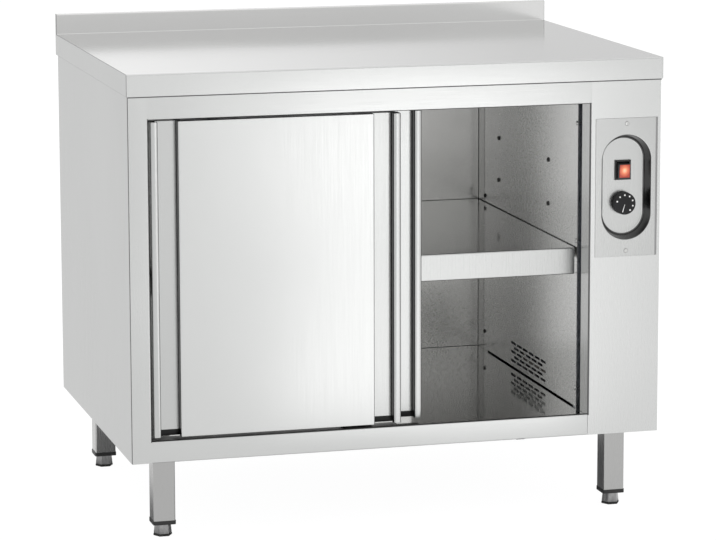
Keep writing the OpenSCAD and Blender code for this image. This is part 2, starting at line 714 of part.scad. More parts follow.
// Crossflow fan, its heater and its motor
module fan_plate_shape() {
  polygon([[open_x1 + 4, duct_z0], [fan_x - 10, duct_z0], [fan_x + 20, duct_z0 + 8], [fan_x + 34, fan_z - 20],
    [fan_x + 38, fan_z + 10], [fan_x + 20, fan_z + 34], [fan_x - 24, fan_z + 34], [fan_x - 34, duct_z1 + 2],
    [open_x1 + 4, duct_z1 + 2]]);
}
module fan_casing() {
  scroll = [for (a = [0:12:216]) let (w = -90 + a, r = rotor_r + 6 + a / 27)
    [fan_x + r * cos(w), fan_z + r * sin(w)]];
  color(ZINC) union() {
    difference() {
      for (y = [fan_y - duct_l / 2, fan_y + duct_l / 2 - sheet]) along_y(y, y + sheet) fan_plate_shape();
      rod_y(2 * shaft_r + 4, fan_y - duct_l, fan_y + duct_l, fan_x, fan_z);
      for (s = [-1, 1]) rod_y(2 * element_r + 1, fan_y - duct_l, fan_y, element_x, element_z + s * element_gap);
    }
    along_y(fan_y - duct_l / 2 + half, fan_y + duct_l / 2 - half) {
      for (i = [0:len(scroll) - 2]) polygon([scroll[i], scroll[i + 1],
        scroll[i + 1] + sheet * unit(scroll[i + 1] - [fan_x, fan_z]), scroll[i] + sheet * unit(scroll[i] - [fan_x, fan_z])]);
      translate([open_x1 + 4, duct_z0]) square([fan_x - open_x1 - 4, sheet]);
      translate([fan_x - sheet, duct_z0]) square([sheet, fan_z - rotor_r - 6 - duct_z0]);
      translate([open_x1 + 4, duct_z1 + 2 - sheet]) square([fan_x - rotor_r - 10 - open_x1 - 4, sheet]);
    }
  }
}

module fan_rotor() {
  l = rotor_l / 2;
  color(ZINC) union() {
    rod_y(2 * shaft_r, fan_y - duct_l / 2 - 4, fan_y + duct_l / 2 + 12, fan_x, fan_z);
    for (y = [-l, -0.75, l - 1.5]) rod_y(2 * rotor_r, fan_y + y, fan_y + y + 1.5, fan_x, fan_z);
    for (i = [0:blades - 1]) translate([fan_x, 0, fan_z]) rotate([0, i * 360 / blades, 0])
      translate([rotor_r - 5, 0, 0]) rotate([0, 30, 0]) slab([-4, fan_y - l, -0.5], [4, fan_y + l, 0.5]);
  }
}

module fan_motor() {
  y = fan_y + duct_l / 2 + TOUCH;
  color(ZINC) difference() {
    union() {
      slab([fan_x - 30, y + 4, fan_z - 24], [fan_x + 30, y + 22, fan_z + 30]);
      rod_y(40, y, y + 26, fan_x, fan_z);
    }
    rod_y(2 * shaft_r + 1, y - 1, y + 14, fan_x, fan_z);
  }
}

element_r = 4;
element_gap = 13;
element_x = open_x1 + 24;
element_z = (duct_z0 + duct_z1) / 2 + 1;
module heating_element() {
  reach = duct_l / 2 - 22;
  z = element_z;
  gap = element_gap;
  color(ZINC) union() {
    for (s = [-1, 1]) rod_y(2 * element_r, fan_y - duct_l / 2 - 8, fan_y + reach, element_x, z + s * gap);
    translate([element_x, fan_y + reach, z]) rotate([90, 0, 90]) intersection() {
      rotate_extrude() translate([gap, 0]) circle(r = element_r);
      translate([0, -25, -10]) cube([25, 50, 20]);
    }
    slab([element_x - 8, fan_y - duct_l / 2 - 3, z - 22], [element_x + 8, fan_y - duct_l / 2 - TOUCH, z + 22]);
  }
}

module terminal_block() {
  x = partition_x + sheet + TOUCH;
  y = back_y - 130;
  color(NYLON) difference() {
    slab([x, y, base_z + 160], [x + 22, y + 60, base_z + 185]);
    for (i = [0:4]) rod_x(6, x + 10, x + 30, y + 6 + 12 * i, base_z + 172.5);
  }
}

gland_bore = 9;
module cable_gland() {
  color(BLACK) difference() {
    union() {
      rod_y(gland_d, back_y - 14, back_y + 1, gland_x, gland_z);
      translate([gland_x, back_y + 5, gland_z]) rotate([90, 0, 0]) cylinder(d = 26, h = 5, $fn = 6);
      rod_y(gland_d - 2, back_y + 4, back_y + 7.5, gland_x, gland_z);
      translate([gland_x, back_y - sheet - 0.1, gland_z]) rotate([90, 0, 0]) cylinder(d = 26, h = 5, $fn = 6);
    }
    rod_y(gland_bore, back_y - 20, back_y + 20, gland_x, gland_z);
  }
}

// Legs and feet
module at_legs() for (x = [-leg_x, leg_x], y = [-leg_y, leg_y]) translate([x, y, base_z]) children();
module at_bolts() for (x = [-bolt_at, bolt_at], y = [-bolt_at, bolt_at]) translate([x, y, 0]) children();

// A square bar along Z with round corners
module round_bar(w, r, z0, z1) {
  for (a = [0, 1]) slab([-w / 2 + a * r, -w / 2 + (1 - a) * r, z0], [w / 2 - a * r, w / 2 - (1 - a) * r, z1]);
  for (x = [-1, 1], y = [-1, 1]) translate([x * (w / 2 - r), y * (w / 2 - r), z0])
    cylinder(r = r, h = z1 - z0, $fn = 24);
}

module leg(x, y) {
  color(STEEL) translate([x, y, 0]) difference() {
    union() {
      round_bar(leg_w, 3, foot_z, base_z - 0.1);
      slab([-leg_plate_w / 2, -leg_plate_w / 2, base_z - leg_plate_t - 0.1],
        [leg_plate_w / 2, leg_plate_w / 2, base_z - 0.1]);
    }
    slab([leg_wall - leg_w / 2, leg_wall - leg_w / 2, foot_z - 1],
      [leg_w / 2 - leg_wall, leg_w / 2 - leg_wall, base_z - leg_plate_t - 0.1]);
    translate([0, 0, base_z]) at_bolts() cylinder(d = 8.6, h = 20, center = true);
  }
}
module leg_front_left() leg(-leg_x, -leg_y);
module leg_front_right() leg(leg_x, -leg_y);
module leg_rear_left() leg(-leg_x, leg_y);
module leg_rear_right() leg(leg_x, leg_y);

module leg_plugs() {
  inner = leg_w - 2 * leg_wall - 0.4;
  color(BLACK) at_legs() translate([0, 0, -base_z]) difference() {
    union() {
      round_bar(leg_w + 2, 4, foot_h, foot_z - 0.05);
      slab([-inner / 2, -inner / 2, foot_h + 1], [inner / 2, inner / 2, foot_z + 26]);
    }
    translate([0, 0, foot_h - 1]) cylinder(r = stud_d / 2 + PIN_PLAY, h = 60);
  }
}

module leg_bolts() {
  color(ZINC) at_legs() at_bolts() {
    translate([0, 0, -leg_plate_t - 5.4]) cylinder(d = 13, h = 5.3, $fn = 6);
    translate([0, 0, -leg_plate_t - 1]) cylinder(d = 8, h = 16);
    translate([0, 0, 3 * sheet + 2 * TOUCH + 0.1]) cylinder(d = 13, h = 6, $fn = 6);
  }
}

module foot(x, y) {
  stud_l = foot_travel + 25;
  color(ZINC) translate([x, y, 0]) union() {
    translate([0, 0, pad_h]) cylinder(d1 = foot_d, d2 = foot_d - 4, h = foot_h - pad_h - 0.1, $fn = 6);
    translate([0, 0, foot_h - 1]) cylinder(d = stud_d, h = stud_l + 1);
  }
}
module foot_pad(x, y) {
  color(BLACK) translate([x, y, 0]) cylinder(d = foot_d + 1, h = pad_h - 0.05, $fn = 6);
}
module foot_front_left() foot(-leg_x, -leg_y);
module foot_front_right() foot(leg_x, -leg_y);
module foot_rear_left() foot(-leg_x, leg_y);
module foot_rear_right() foot(leg_x, leg_y);
module foot_pad_front_left() foot_pad(-leg_x, -leg_y);
module foot_pad_front_right() foot_pad(leg_x, -leg_y);
module foot_pad_rear_left() foot_pad(-leg_x, leg_y);
module foot_pad_rear_right() foot_pad(leg_x, leg_y);

worktop();
worktop_stiffeners();
left_side_panel();
right_side_panel();
back_panel();
base_panel();
base_channels();
front_left_post();
front_top_rail();
front_bottom_rail();
control_front_panel();
cavity_floor();
cavity_back();
left_liner();
right_liner();
liner_battens();
partition();
liner_screws();
shelf_pegs();
shelf();
top_track();
door_guide();
leg_front_left();
leg_front_right();
leg_rear_left();
leg_rear_right();
leg_plugs();
leg_bolts();
foot_front_left();
foot_front_right();
foot_rear_left();
foot_rear_right();
foot_pad_front_left();
foot_pad_front_right();
foot_pad_rear_left();
foot_pad_rear_right();
left_door_front();
left_door_back();
left_door_pulls();
left_door_hangers();
left_door_roller_left();
left_door_roller_right();
right_door_front();
right_door_back();
right_door_pulls();
right_door_hangers();
right_door_roller_left();
right_door_roller_right();
control_plate();
plate_screws();
switch_body();
switch_rocker();
thermostat();
thermostat_knob();
fan_casing();
fan_rotor();
fan_motor();
heating_element();
terminal_block();
cable_gland();
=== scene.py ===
# Looks of the plate warmer cabinet: its steels, plastics and lit switch, the pieces that the
# frame leaves plain, a pale studio, and the camera. Lengths are in metres.
import json
import math

import bpy
from mathutils import Matrix, Vector


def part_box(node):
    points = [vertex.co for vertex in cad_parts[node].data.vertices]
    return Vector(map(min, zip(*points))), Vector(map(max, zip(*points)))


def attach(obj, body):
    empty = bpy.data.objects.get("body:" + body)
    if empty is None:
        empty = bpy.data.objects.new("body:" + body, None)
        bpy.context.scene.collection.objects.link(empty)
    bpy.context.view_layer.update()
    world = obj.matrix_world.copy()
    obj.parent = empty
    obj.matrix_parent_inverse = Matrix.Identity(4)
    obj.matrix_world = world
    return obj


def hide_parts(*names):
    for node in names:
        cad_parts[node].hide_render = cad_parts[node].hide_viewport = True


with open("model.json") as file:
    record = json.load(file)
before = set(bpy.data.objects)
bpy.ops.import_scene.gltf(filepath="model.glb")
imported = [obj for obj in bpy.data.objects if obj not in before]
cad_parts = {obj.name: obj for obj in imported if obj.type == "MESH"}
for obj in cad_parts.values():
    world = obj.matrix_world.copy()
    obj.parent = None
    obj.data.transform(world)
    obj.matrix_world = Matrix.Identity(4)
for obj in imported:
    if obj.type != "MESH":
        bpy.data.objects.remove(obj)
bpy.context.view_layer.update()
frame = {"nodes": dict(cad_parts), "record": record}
bpy.ops.object.select_all(action="DESELECT")


# ---------------------------------------------------------------- finishes

def tinted(colour, amount):
    """A colour made lighter or darker, with no part of it above white."""
    return tuple(min(1.0, part * amount) for part in colour)


def new_finish(name):
    """An empty node material, with its shader and the Object coordinates to build on."""
    finish = bpy.data.materials.new(name)
    finish.use_nodes = True
    tree = finish.node_tree
    tree.nodes.clear()
    shader = tree.nodes.new("ShaderNodeBsdfPrincipled")
    out = tree.nodes.new("ShaderNodeOutputMaterial")
    tree.links.new(shader.outputs["BSDF"], out.inputs["Surface"])
    place = tree.nodes.new("ShaderNodeTexCoord")
    return finish, tree, shader, place.outputs["Object"]


def stretched_noise(tree, place, scale, detail, roughness):
    """Noise on the piece's own place, with its waves per metre along each axis."""
    turn = tree.nodes.new("ShaderNodeMapping")
    turn.inputs["Scale"].default_value = scale
    tree.links.new(place, turn.inputs["Vector"])
    noise = tree.nodes.new("ShaderNodeTexNoise")
    noise.inputs["Scale"].default_value = 1.0
    noise.inputs["Detail"].default_value = detail
    noise.inputs["Roughness"].default_value = roughness
    tree.links.new(turn.outputs["Vector"], noise.inputs["Vector"])
    return noise.outputs["Fac"]


def spread(tree, value, low, high, start=0.25, end=0.75):
    """Spreads a noise value between two numbers."""
    reach = tree.nodes.new("ShaderNodeMapRange")
    reach.inputs["From Min"].default_value = start
    reach.inputs["From Max"].default_value = end
    reach.inputs["To Min"].default_value = low
    reach.inputs["To Max"].default_value = high
    tree.links.new(value, reach.inputs["Value"])
    return reach.outputs["Result"]


def blend_colours(tree, amount, first, second):
    """A colour between two, by a value from 0 to 1."""
    mix = tree.nodes.new("ShaderNodeMix")
    mix.data_type = "RGBA"
    for socket, colour in ((mix.inputs[6], first), (mix.inputs[7], second)):
        if hasattr(colour, "links"):
            tree.links.new(colour, socket)
        else:
            socket.default_value = (*colour, 1.0)
    tree.links.new(amount, mix.inputs[0])
    return mix.outputs[2]


def roughen(tree, shader, height, strength, distance):
    """A fine bump from a height value."""
    bump = tree.nodes.new("ShaderNodeBump")
    bump.inputs["Strength"].default_value = strength
    bump.inputs["Distance"].default_value = distance
    tree.links.new(height, bump.inputs["Height"])
    tree.links.new(bump.outputs["Normal"], shader.inputs["Normal"])


def steel(name, grain, colour, gloss, drift=0.05, depth=0.000012, grazing=1.0):
    """Stainless sheet: fine brushing along one axis, cloudy drift, and a roughness that follows both.
    grain is X or Z, the axis of the brushing, or none for a polished sheet. gloss is the roughness,
    drift the share by which the tone wanders, and depth the brushing's depth. grazing below 1 makes
    the sheet reflect less where it is seen almost edge on."""
    finish, tree, shader, place = new_finish(name)
    across, along, polished = 1400.0, 9.0, 260.0
    scale = {"X": (along, across, across), "Z": (across, across, along), "none": (polished,) * 3}[grain]
    lines = stretched_noise(tree, place, scale, 3.0, 0.65)
    cloud = stretched_noise(tree, place, (2.1, 2.3, 1.9), 3.0, 0.5)
    toned = blend_colours(tree, spread(tree, cloud, 0.0, 1.0, 0.3, 0.7),
                          tinted(colour, 1 - drift), tinted(colour, 1 + drift))
    streaked = blend_colours(tree, spread(tree, lines, 0.0, 0.25), toned, tinted(colour, 0.93))
    tree.links.new(streaked, shader.inputs["Base Color"])
    shader.inputs["Metallic"].default_value = 1.0
    shader.inputs["Specular Tint"].default_value = (grazing, grazing, grazing, 1.0)
    both = tree.nodes.new("ShaderNodeMath")
    both.operation = "ADD"
    tree.links.new(spread(tree, lines, -0.03, 0.04), both.inputs[0])
    tree.links.new(spread(tree, cloud, gloss - 0.02, gloss + 0.03), both.inputs[1])
    tree.links.new(both.outputs[0], shader.inputs["Roughness"])
    roughen(tree, shader, lines, 0.25, depth)
    return finish


def zinc(name, colour, gloss):
    """Galvanised sheet: a pattern of flat crystals, each a little lighter or darker."""
    finish, tree, shader, place = new_finish(name)
    crystals_per_metre = 90
    turn = tree.nodes.new("ShaderNodeMapping")
    turn.inputs["Scale"].default_value = (crystals_per_metre,) * 3
    tree.links.new(place, turn.inputs["Vector"])
    crystals = tree.nodes.new("ShaderNodeTexVoronoi")
    tree.links.new(turn.outputs["Vector"], crystals.inputs["Vector"])
    tone = tree.nodes.new("ShaderNodeSeparateColor")
    tree.links.new(crystals.outputs["Color"], tone.inputs["Color"])
    toned = blend_colours(tree, tone.outputs[0], tinted(colour, 0.82), tinted(colour, 1.12))
    tree.links.new(toned, shader.inputs["Base Color"])
    shader.inputs["Metallic"].default_value = 1.0
    tree.links.new(spread(tree, tone.outputs[1], gloss - 0.06, gloss + 0.1, 0.0, 1.0),
                   shader.inputs["Roughness"])
    roughen(tree, shader, stretched_noise(tree, place, (300, 300, 300), 4.0, 0.6), 0.2, 0.00004)
    return finish


def moulded(name, colour, gloss, pits=900.0, shine=0.5):
    """Moulded plastic or rubber: a fine grain of so many pits per metre, and slight changes in tone."""
    finish, tree, shader, place = new_finish(name)
    grain = stretched_noise(tree, place, (pits, pits, pits), 2.0, 0.5)
    cloud = stretched_noise(tree, place, (35, 35, 35), 2.0, 0.5)
    toned = blend_colours(tree, spread(tree, cloud, 0.0, 1.0), tinted(colour, 0.8), tinted(colour, 1.2))
    tree.links.new(toned, shader.inputs["Base Color"])
    tree.links.new(spread(tree, grain, gloss - 0.06, gloss + 0.08), shader.inputs["Roughness"])
    shader.inputs["Specular IOR Level"].default_value = shine
    roughen(tree, shader, grain, 0.3, 0.00006)
    return finish


def lit_amber(name, glow):
    """The switch's translucent lens, lit from behind: brighter over the lamp, redder at its rim, with a
    painted highlight in the glow over its middle.
    """
    finish, tree, shader, place = new_finish(name)
    half_w, half_h = 0.0125, 0.0145
    centre = tree.nodes.new("ShaderNodeMapping")
    centre.inputs["Location"].default_value = (-LENS_X / half_w, 0.0, -LENS_Z / half_h)
    centre.inputs["Scale"].default_value = (1 / half_w, 0.0, 1 / half_h)
    tree.links.new(place, centre.inputs["Vector"])
    fall = tree.nodes.new("ShaderNodeTexGradient")
    fall.gradient_type = "SPHERICAL"
    tree.links.new(centre.outputs["Vector"], fall.inputs["Vector"])
    flecks = stretched_noise(tree, place, (700, 700, 700), 2.0, 0.5)
    body = spread(tree, fall.outputs["Fac"], 0.0, 1.0, 0.15, 0.85)
    painted_highlight = spread(tree, fall.outputs["Fac"], 0.0, 1.0, 0.60, 0.95)
    colour = blend_colours(tree, body, (0.22, 0.020, 0.012), (0.50, 0.10, 0.05))
    glowing = blend_colours(tree, body, (0.29, 0.045, 0.026), (0.74, 0.30, 0.15))
    # Painted highlight: the glow turns almost white over the lens's middle.
    glowing = blend_colours(tree, painted_highlight, glowing, (1.0, 0.66, 0.42))
    tree.links.new(colour, shader.inputs["Base Color"])
    tree.links.new(glowing, shader.inputs["Emission Color"])
    shader.inputs["Emission Strength"].default_value = glow
    tree.links.new(spread(tree, flecks, 0.14, 0.24), shader.inputs["Roughness"])
    roughen(tree, shader, flecks, 0.2, 0.00003)
    return finish


def cast_metal(name, colour, gloss):
    """Turned, cast or drawn metal of the feet, the motor and the heater: mottled tone over fine pits."""
    finish, tree, shader, place = new_finish(name)
    mottle = stretched_noise(tree, place, (160, 160, 60), 4.0, 0.6)
    pits = stretched_noise(tree, place, (1200, 1200, 1200), 2.0, 0.5)
    toned = blend_colours(tree, spread(tree, mottle, 0.0, 1.0), tinted(colour, 0.6), tinted(colour, 1.25))
    tree.links.new(toned, shader.inputs["Base Color"])
    shader.inputs["Metallic"].default_value = 1.0
    tree.links.new(spread(tree, mottle, gloss - 0.08, gloss + 0.1), shader.inputs["Roughness"])
    roughen(tree, shader, pits, 0.3, 0.00005)
    return finish


# ---------------------------------------------------------------- places on the control plate
# They are read from the frame. The dish's size, and the radius of a screw's head, are the source's.

bezel_lo, bezel_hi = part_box("switch_body")
knob_lo, knob_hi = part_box("thermostat_knob")
rocker_lo, rocker_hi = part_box("switch_rocker")
LENS_X = (rocker_lo.x + rocker_hi.x) / 2
LENS_Z = (bezel_lo.z + bezel_hi.z) / 2
PLATE_X = (bezel_lo.x + bezel_hi.x) / 2
KNOB_Z = (knob_lo.z + knob_hi.z) / 2
DISH_W, DISH_H = 0.095, 0.194
SCREW_HEAD_RADIUS = 0.004
SCREW_ZS = (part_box("plate_screws")[0].z + SCREW_HEAD_RADIUS,
            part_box("plate_screws")[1].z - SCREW_HEAD_RADIUS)


# ---------------------------------------------------------------- the finishes
# A steel's name, the axis of its brushing, its colour and gloss, then drift, depth and grazing where
# they differ. The fold, lane, rim, dish-wall and edge steels are darker than bare steel: painted shade
# and painted dark reflection, on faces that mirror a dark part of the room. The skirt and side steels
# are darker copies of bare steel: painted shade on faces turned from the light.

TOP_STEEL = steel("worktop_brushed_steel", "X", (0.65, 0.65, 0.645), 0.12, 0.03, 0.000004, 0.92)
# The worktop's skirt: a darker, rougher copy of its steel, painted shade on the front faces.
SKIRT_SHADE_STEEL = steel("worktop_skirt_shaded_steel", "X", (0.58, 0.585, 0.58), 0.21)
RAIL_STEEL = steel("rail_brushed_steel", "X", (0.545, 0.55, 0.545), 0.21)
POST_STEEL = steel("post_brushed_steel", "Z", (0.545, 0.55, 0.545), 0.24)
PANEL_STEEL = steel("front_panel_brushed_steel", "Z", (0.575, 0.58, 0.575), 0.24)
# The sides: a darker copy of the front's steel that also reflects less edge on, painted shade on faces
# turned from the light.
SIDE_SHADE_STEEL = steel("side_panel_shaded_steel", "Z", (0.52, 0.525, 0.52), 0.30, 0.05, 0.00002, 0.88)
DOOR_STEEL = steel("door_brushed_steel", "Z", (0.575, 0.58, 0.575), 0.22, 0.03)
LIP_STEEL = steel("door_pull_brushed_steel", "Z", (0.50, 0.505, 0.50), 0.22, 0.03, 0.000008)
PLATE_STEEL = steel("control_plate_brushed_steel", "Z", (0.49, 0.495, 0.49), 0.25)
# Painted shade and painted dark reflection: the dish's wall, the pulls' folds, the lane behind the doors,
# the plate's rim and the dark lines along edges.
DISH_SHADE_STEEL = steel("dish_wall_painted_shade_steel", "Z", (0.11, 0.11, 0.11), 0.16, 0.10)
FOLD_STEEL = steel("pull_fold_shaded_steel", "Z", (0.025, 0.025, 0.025), 0.30, 0.10)
LANE_STEEL = steel("door_lane_shaded_steel", "X", (0.035, 0.035, 0.035), 0.35, 0.10)
RIM_STEEL = steel("plate_rim_shaded_steel", "Z", (0.30, 0.30, 0.30), 0.30, 0.08)
EDGE_SHADE_STEEL = steel("edge_painted_shade_steel", "none", (0.14, 0.14, 0.14), 0.30, 0.10)
LEG_STEEL = steel("leg_tube_brushed_steel", "Z", (0.40, 0.40, 0.395), 0.24)
INNER_STEEL = steel("cavity_polished_steel", "none", (0.52, 0.52, 0.51), 0.24, 0.03, 0.000006)
LINER_STEEL = steel("side_liner_polished_steel", "none", (0.68, 0.68, 0.67), 0.25, 0.03, 0.000006)
FLOOR_STEEL = steel("cavity_floor_polished_steel", "none", (0.44, 0.44, 0.43), 0.07, 0.03, 0.000004)
SHELF_STEEL = steel("shelf_polished_steel", "X", (0.64, 0.64, 0.63), 0.10, 0.03, 0.000005)
BACK_STEEL = steel("rear_panel_brushed_steel", "Z", (0.60, 0.605, 0.605), 0.34)
ZINC_SHEET = zinc("galvanised_sheet", (0.55, 0.57, 0.60), 0.38)
ZINC_TRACK = zinc("galvanised_track", (0.09, 0.09, 0.095), 0.40)
HANGER_ZINC = zinc("hanger_plate_zinc", (0.22, 0.22, 0.225), 0.45)
SCREW_STEEL = steel("screw_steel", "none", (0.62, 0.62, 0.61), 0.14, 0.06)
PLATED = cast_metal("plated_foot_metal", (0.36, 0.36, 0.36), 0.36)
MOTOR_METAL = cast_metal("motor_metal", (0.42, 0.42, 0.43), 0.42)
HEATER_METAL = cast_metal("heater_sheath_metal", (0.30, 0.27, 0.24), 0.45)
BLACK_PLASTIC = moulded("black_switch_plastic", (0.016, 0.016, 0.017), 0.36)
PLUG_PLASTIC = moulded("black_plug_plastic", (0.012, 0.012, 0.012), 0.46)
KNOB_PLASTIC = moulded("black_knob_plastic", (0.014, 0.014, 0.015), 0.46, shine=0.22)
GUIDE_NYLON = moulded("black_guide_nylon", (0.012, 0.012, 0.012), 0.50)
GLAND_PLASTIC = moulded("black_gland_nylon", (0.022, 0.022, 0.024), 0.40)
PAD_RUBBER = moulded("black_foot_rubber", (0.014, 0.014, 0.013), 0.62)
WHITE_NYLON = moulded("natural_roller_nylon", (0.72, 0.71, 0.66), 0.38)
WHITE_PAINT = moulded("white_dial_paint", (0.86, 0.86, 0.84), 0.5, pits=1500.0)
AMBER_LENS = lit_amber("lit_amber_lens", 0.85)
# A dark bead that stands in a gap's shadow: painted shadow.
SHADOW_BEAD = moulded("painted_shadow_bead", (0.09, 0.09, 0.09), 0.55)

# What each node of the frame is finished with, and the finish that its dressed double starts from.
NODE_FINISH = {
    TOP_STEEL: ["worktop"],
    RAIL_STEEL: ["front_top_rail", "front_bottom_rail"],
    POST_STEEL: ["front_left_post"],
    PANEL_STEEL: ["control_front_panel"],
    # The side panels in the darker side steel: painted shade.
    SIDE_SHADE_STEEL: ["left_side_panel", "right_side_panel"],
    DOOR_STEEL: ["left_door_front", "right_door_front"],
    LIP_STEEL: ["left_door_pulls", "right_door_pulls"],
    BACK_STEEL: ["back_panel", "left_door_back", "right_door_back"],
    PLATE_STEEL: ["control_plate"],
    LEG_STEEL: ["leg_front_left", "leg_front_right", "leg_rear_left", "leg_rear_right"],
    INNER_STEEL: ["cavity_back"],
    LINER_STEEL: ["left_liner", "right_liner"],
    FLOOR_STEEL: ["cavity_floor"],
    SHELF_STEEL: ["shelf"],
    ZINC_SHEET: ["worktop_stiffeners", "base_panel", "base_channels", "liner_battens", "partition",
                 "fan_casing", "fan_rotor", "thermostat", "leg_bolts"],
    HANGER_ZINC: ["left_door_hangers", "right_door_hangers"],
    ZINC_TRACK: ["top_track"],
    SCREW_STEEL: ["liner_screws", "shelf_pegs", "plate_screws"],
    PLATED: ["foot_front_left", "foot_front_right", "foot_rear_left", "foot_rear_right"],
    MOTOR_METAL: ["fan_motor"],
    HEATER_METAL: ["heating_element"],
    BLACK_PLASTIC: ["switch_body"],
    KNOB_PLASTIC: ["thermostat_knob"],
    GLAND_PLASTIC: ["cable_gland"],
    PLUG_PLASTIC: ["leg_plugs"],
    PAD_RUBBER: ["foot_pad_front_left", "foot_pad_front_right", "foot_pad_rear_left",
                 "foot_pad_rear_right"],
    WHITE_NYLON: ["left_door_roller_left", "left_door_roller_right", "right_door_roller_left",
                  "right_door_roller_right", "terminal_block"],
    GUIDE_NYLON: ["door_guide"],
    AMBER_LENS: ["switch_rocker"],
}
FINISH_OF = {name: finish for finish, names in NODE_FINISH.items() for name in names}
for name, finish in FINISH_OF.items():
    slots = frame["nodes"][name].data.materials
    slots.clear()
    slots.append(finish)


# ---------------------------------------------------------------- ways of working a mesh

def work_on(piece):
    """Makes one piece the selected and active one, in object mode."""
    if bpy.context.object and bpy.context.object.mode != "OBJECT":
        bpy.ops.object.mode_set(mode="OBJECT")
    bpy.ops.object.select_all(action="DESELECT")
    piece.select_set(True)
    bpy.context.view_layer.objects.active = piece


def settle(name):
    """Names the new primitive and puts its place into its mesh."""
    piece = bpy.context.object
    work_on(piece)
    bpy.ops.object.transform_apply(location=True, rotation=True, scale=True)
    piece.name = piece.data.name = name
    return piece


def block(name, low, high):
    """A box between two corners."""
    low, high = Vector(low), Vector(high)
    bpy.ops.mesh.primitive_cube_add(size=1.0, location=(low + high) / 2, scale=high - low)
    return settle(name)


def drum(name, x, z, front, back, radius, back_radius=None, sides=96):
    """A round bar along Y, which may taper towards the back."""
    bpy.ops.mesh.primitive_cone_add(vertices=sides, radius1=back_radius or radius, radius2=radius,
                                    depth=back - front, location=(x, (front + back) / 2, z),
                                    rotation=(math.radians(90), 0, 0))
    return settle(name)


def choose(piece, kind, test):
    """Goes into edit mode with the points, edges or faces selected that pass the test. The test gets
    the middle of each and, for a face, its normal."""
    work_on(piece)
    mesh = piece.data
    for part in (mesh.vertices, mesh.edges, mesh.polygons):
        part.foreach_set("select", [False] * len(part))
    if kind == "VERT":
        for point in mesh.vertices:
            point.select = test(point.co)
    elif kind == "EDGE":
        for edge in mesh.edges:
            one, two = (mesh.vertices[i].co for i in edge.vertices)
            edge.select = test((one + two) / 2, (two - one).normalized())
    else:
        for face in mesh.polygons:
            face.select = test(face.center, face.normal)
    bpy.ops.object.mode_set(mode="EDIT")
    bpy.ops.mesh.select_mode(type=kind)


def leave():
    """Ends the work in edit mode."""
    bpy.ops.object.mode_set(mode="OBJECT")


def choose_all(piece):
    """Goes into edit mode with the whole piece selected."""
    work_on(piece)
    bpy.ops.object.mode_set(mode="EDIT")
    bpy.ops.mesh.select_all(action="SELECT")


def round_edges(piece, width, segments, test=lambda middle, along: True):
    """Bevels the edges that pass the test."""
    choose(piece, "EDGE", test)
    bpy.ops.mesh.bevel(offset=width, offset_type="OFFSET", segments=segments, profile=0.5,
                       clamp_overlap=True)
    leave()


def split_faces(piece, test, place, way):
    """Cuts the faces that pass the test along a plane, and leaves both sides of them."""
    choose(piece, "FACE", test)
    bpy.ops.mesh.bisect(plane_co=place, plane_no=way)
    leave()


def move_points(piece, test, move):
    """Moves the points that pass the test."""
    choose(piece, "VERT", test)
    bpy.ops.transform.translate(value=move)
    leave()


def cut_away(piece, cutter, how="DIFFERENCE"):
    """Cuts one mesh by another, or joins the two into one skin, and removes the second."""
    work_on(piece)
    bpy.ops.object.modifier_add(type="BOOLEAN")
    step = piece.modifiers[-1]
    step.operation = how
    step.solver = "EXACT"
    step.object = cutter
    bpy.ops.object.modifier_apply(modifier=step.name)
    bpy.data.objects.remove(cutter, do_unlink=True)


def smooth(piece, angle=35):
    """Shades round places smooth and keeps flat ones flat."""
    work_on(piece)
    bpy.ops.object.shade_smooth_by_angle(angle=math.radians(angle))
    bpy.ops.object.modifier_add(type="WEIGHTED_NORMAL")
    step = piece.modifiers[-1]
    step.keep_sharp = True
    bpy.ops.object.modifier_apply(modifier=step.name)


def finished(piece, finish, body, stands_for=()):
    """Gives a piece its finish and its body, and hides what it stands for."""
    piece.data.materials.clear()
    piece.data.materials.append(finish)
    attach(piece, body)
    if stands_for:
        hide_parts(*stands_for)
    return piece


def second_finish(piece, finish, test):
    """Gives the faces that pass the test another finish."""
    piece.data.materials.append(finish)
    number = len(piece.data.materials) - 1
    for face in piece.data.polygons:
        if test(face.center, face.normal):
            face.material_index = number


def another(piece, name, move, turned=False):
    """A copy with its own mesh, moved, and turned to face the other side if asked."""
    twin = piece.copy()
    twin.data = piece.data.copy()
    bpy.context.scene.collection.objects.link(twin)
    twin.name = twin.data.name = name
    if turned:
        twin.data.transform(Matrix.Rotation(math.pi, 4, "Z"))
    twin.data.transform(Matrix.Translation(move))
    return twin


def body_of(node):
    """The body that a node moves with."""
    return next(name for name, parts in frame["record"]["behaviour"]["bodies"].items() if node in parts)


def dressed(node, edge=0.0003, segments=2, sharp=30):
    """A double of a sheet or turned piece, its loose triangles joined, its edges slightly broken as
    filing or bending leaves them, and its bends shaded round. It hides the plain node."""
    plain = frame["nodes"][node]
    piece = plain.copy()
    piece.data = plain.data.copy()
    bpy.context.scene.collection.objects.link(piece)
    piece.name = piece.data.name = node + "_dressed"
    piece.parent = None
    piece.matrix_world = Matrix.Identity(4)
    choose_all(piece)
    bpy.ops.mesh.remove_doubles(threshold=0.000002)
    bpy.ops.mesh.dissolve_limited(angle_limit=math.radians(0.4))
    leave()
    bpy.ops.object.modifier_add(type="BEVEL")
    step = piece.modifiers[-1]
    step.width = edge
    step.segments = segments
    step.limit_method = "ANGLE"
    step.angle_limit = math.radians(50)
    step.use_clamp_overlap = True
    bpy.ops.object.modifier_apply(modifier=step.name)
    smooth(piece, sharp)
    return finished(piece, FINISH_OF[node], body_of(node), [node])


# ---------------------------------------------------------------- control plate, switch and knob

def stretched_drum(name, front, back, radius, back_radius, mid_z, reach):
    """A drum whose upper and lower halves are drawn apart, which makes it a slot with round ends."""
    piece = drum(name, PLATE_X, mid_z, front, back, radius, back_radius)
    for side in (1, -1):
        move_points(piece, lambda co: (co.z - mid_z) * side > 1e-6, (0, 0, side * reach))
    return piece


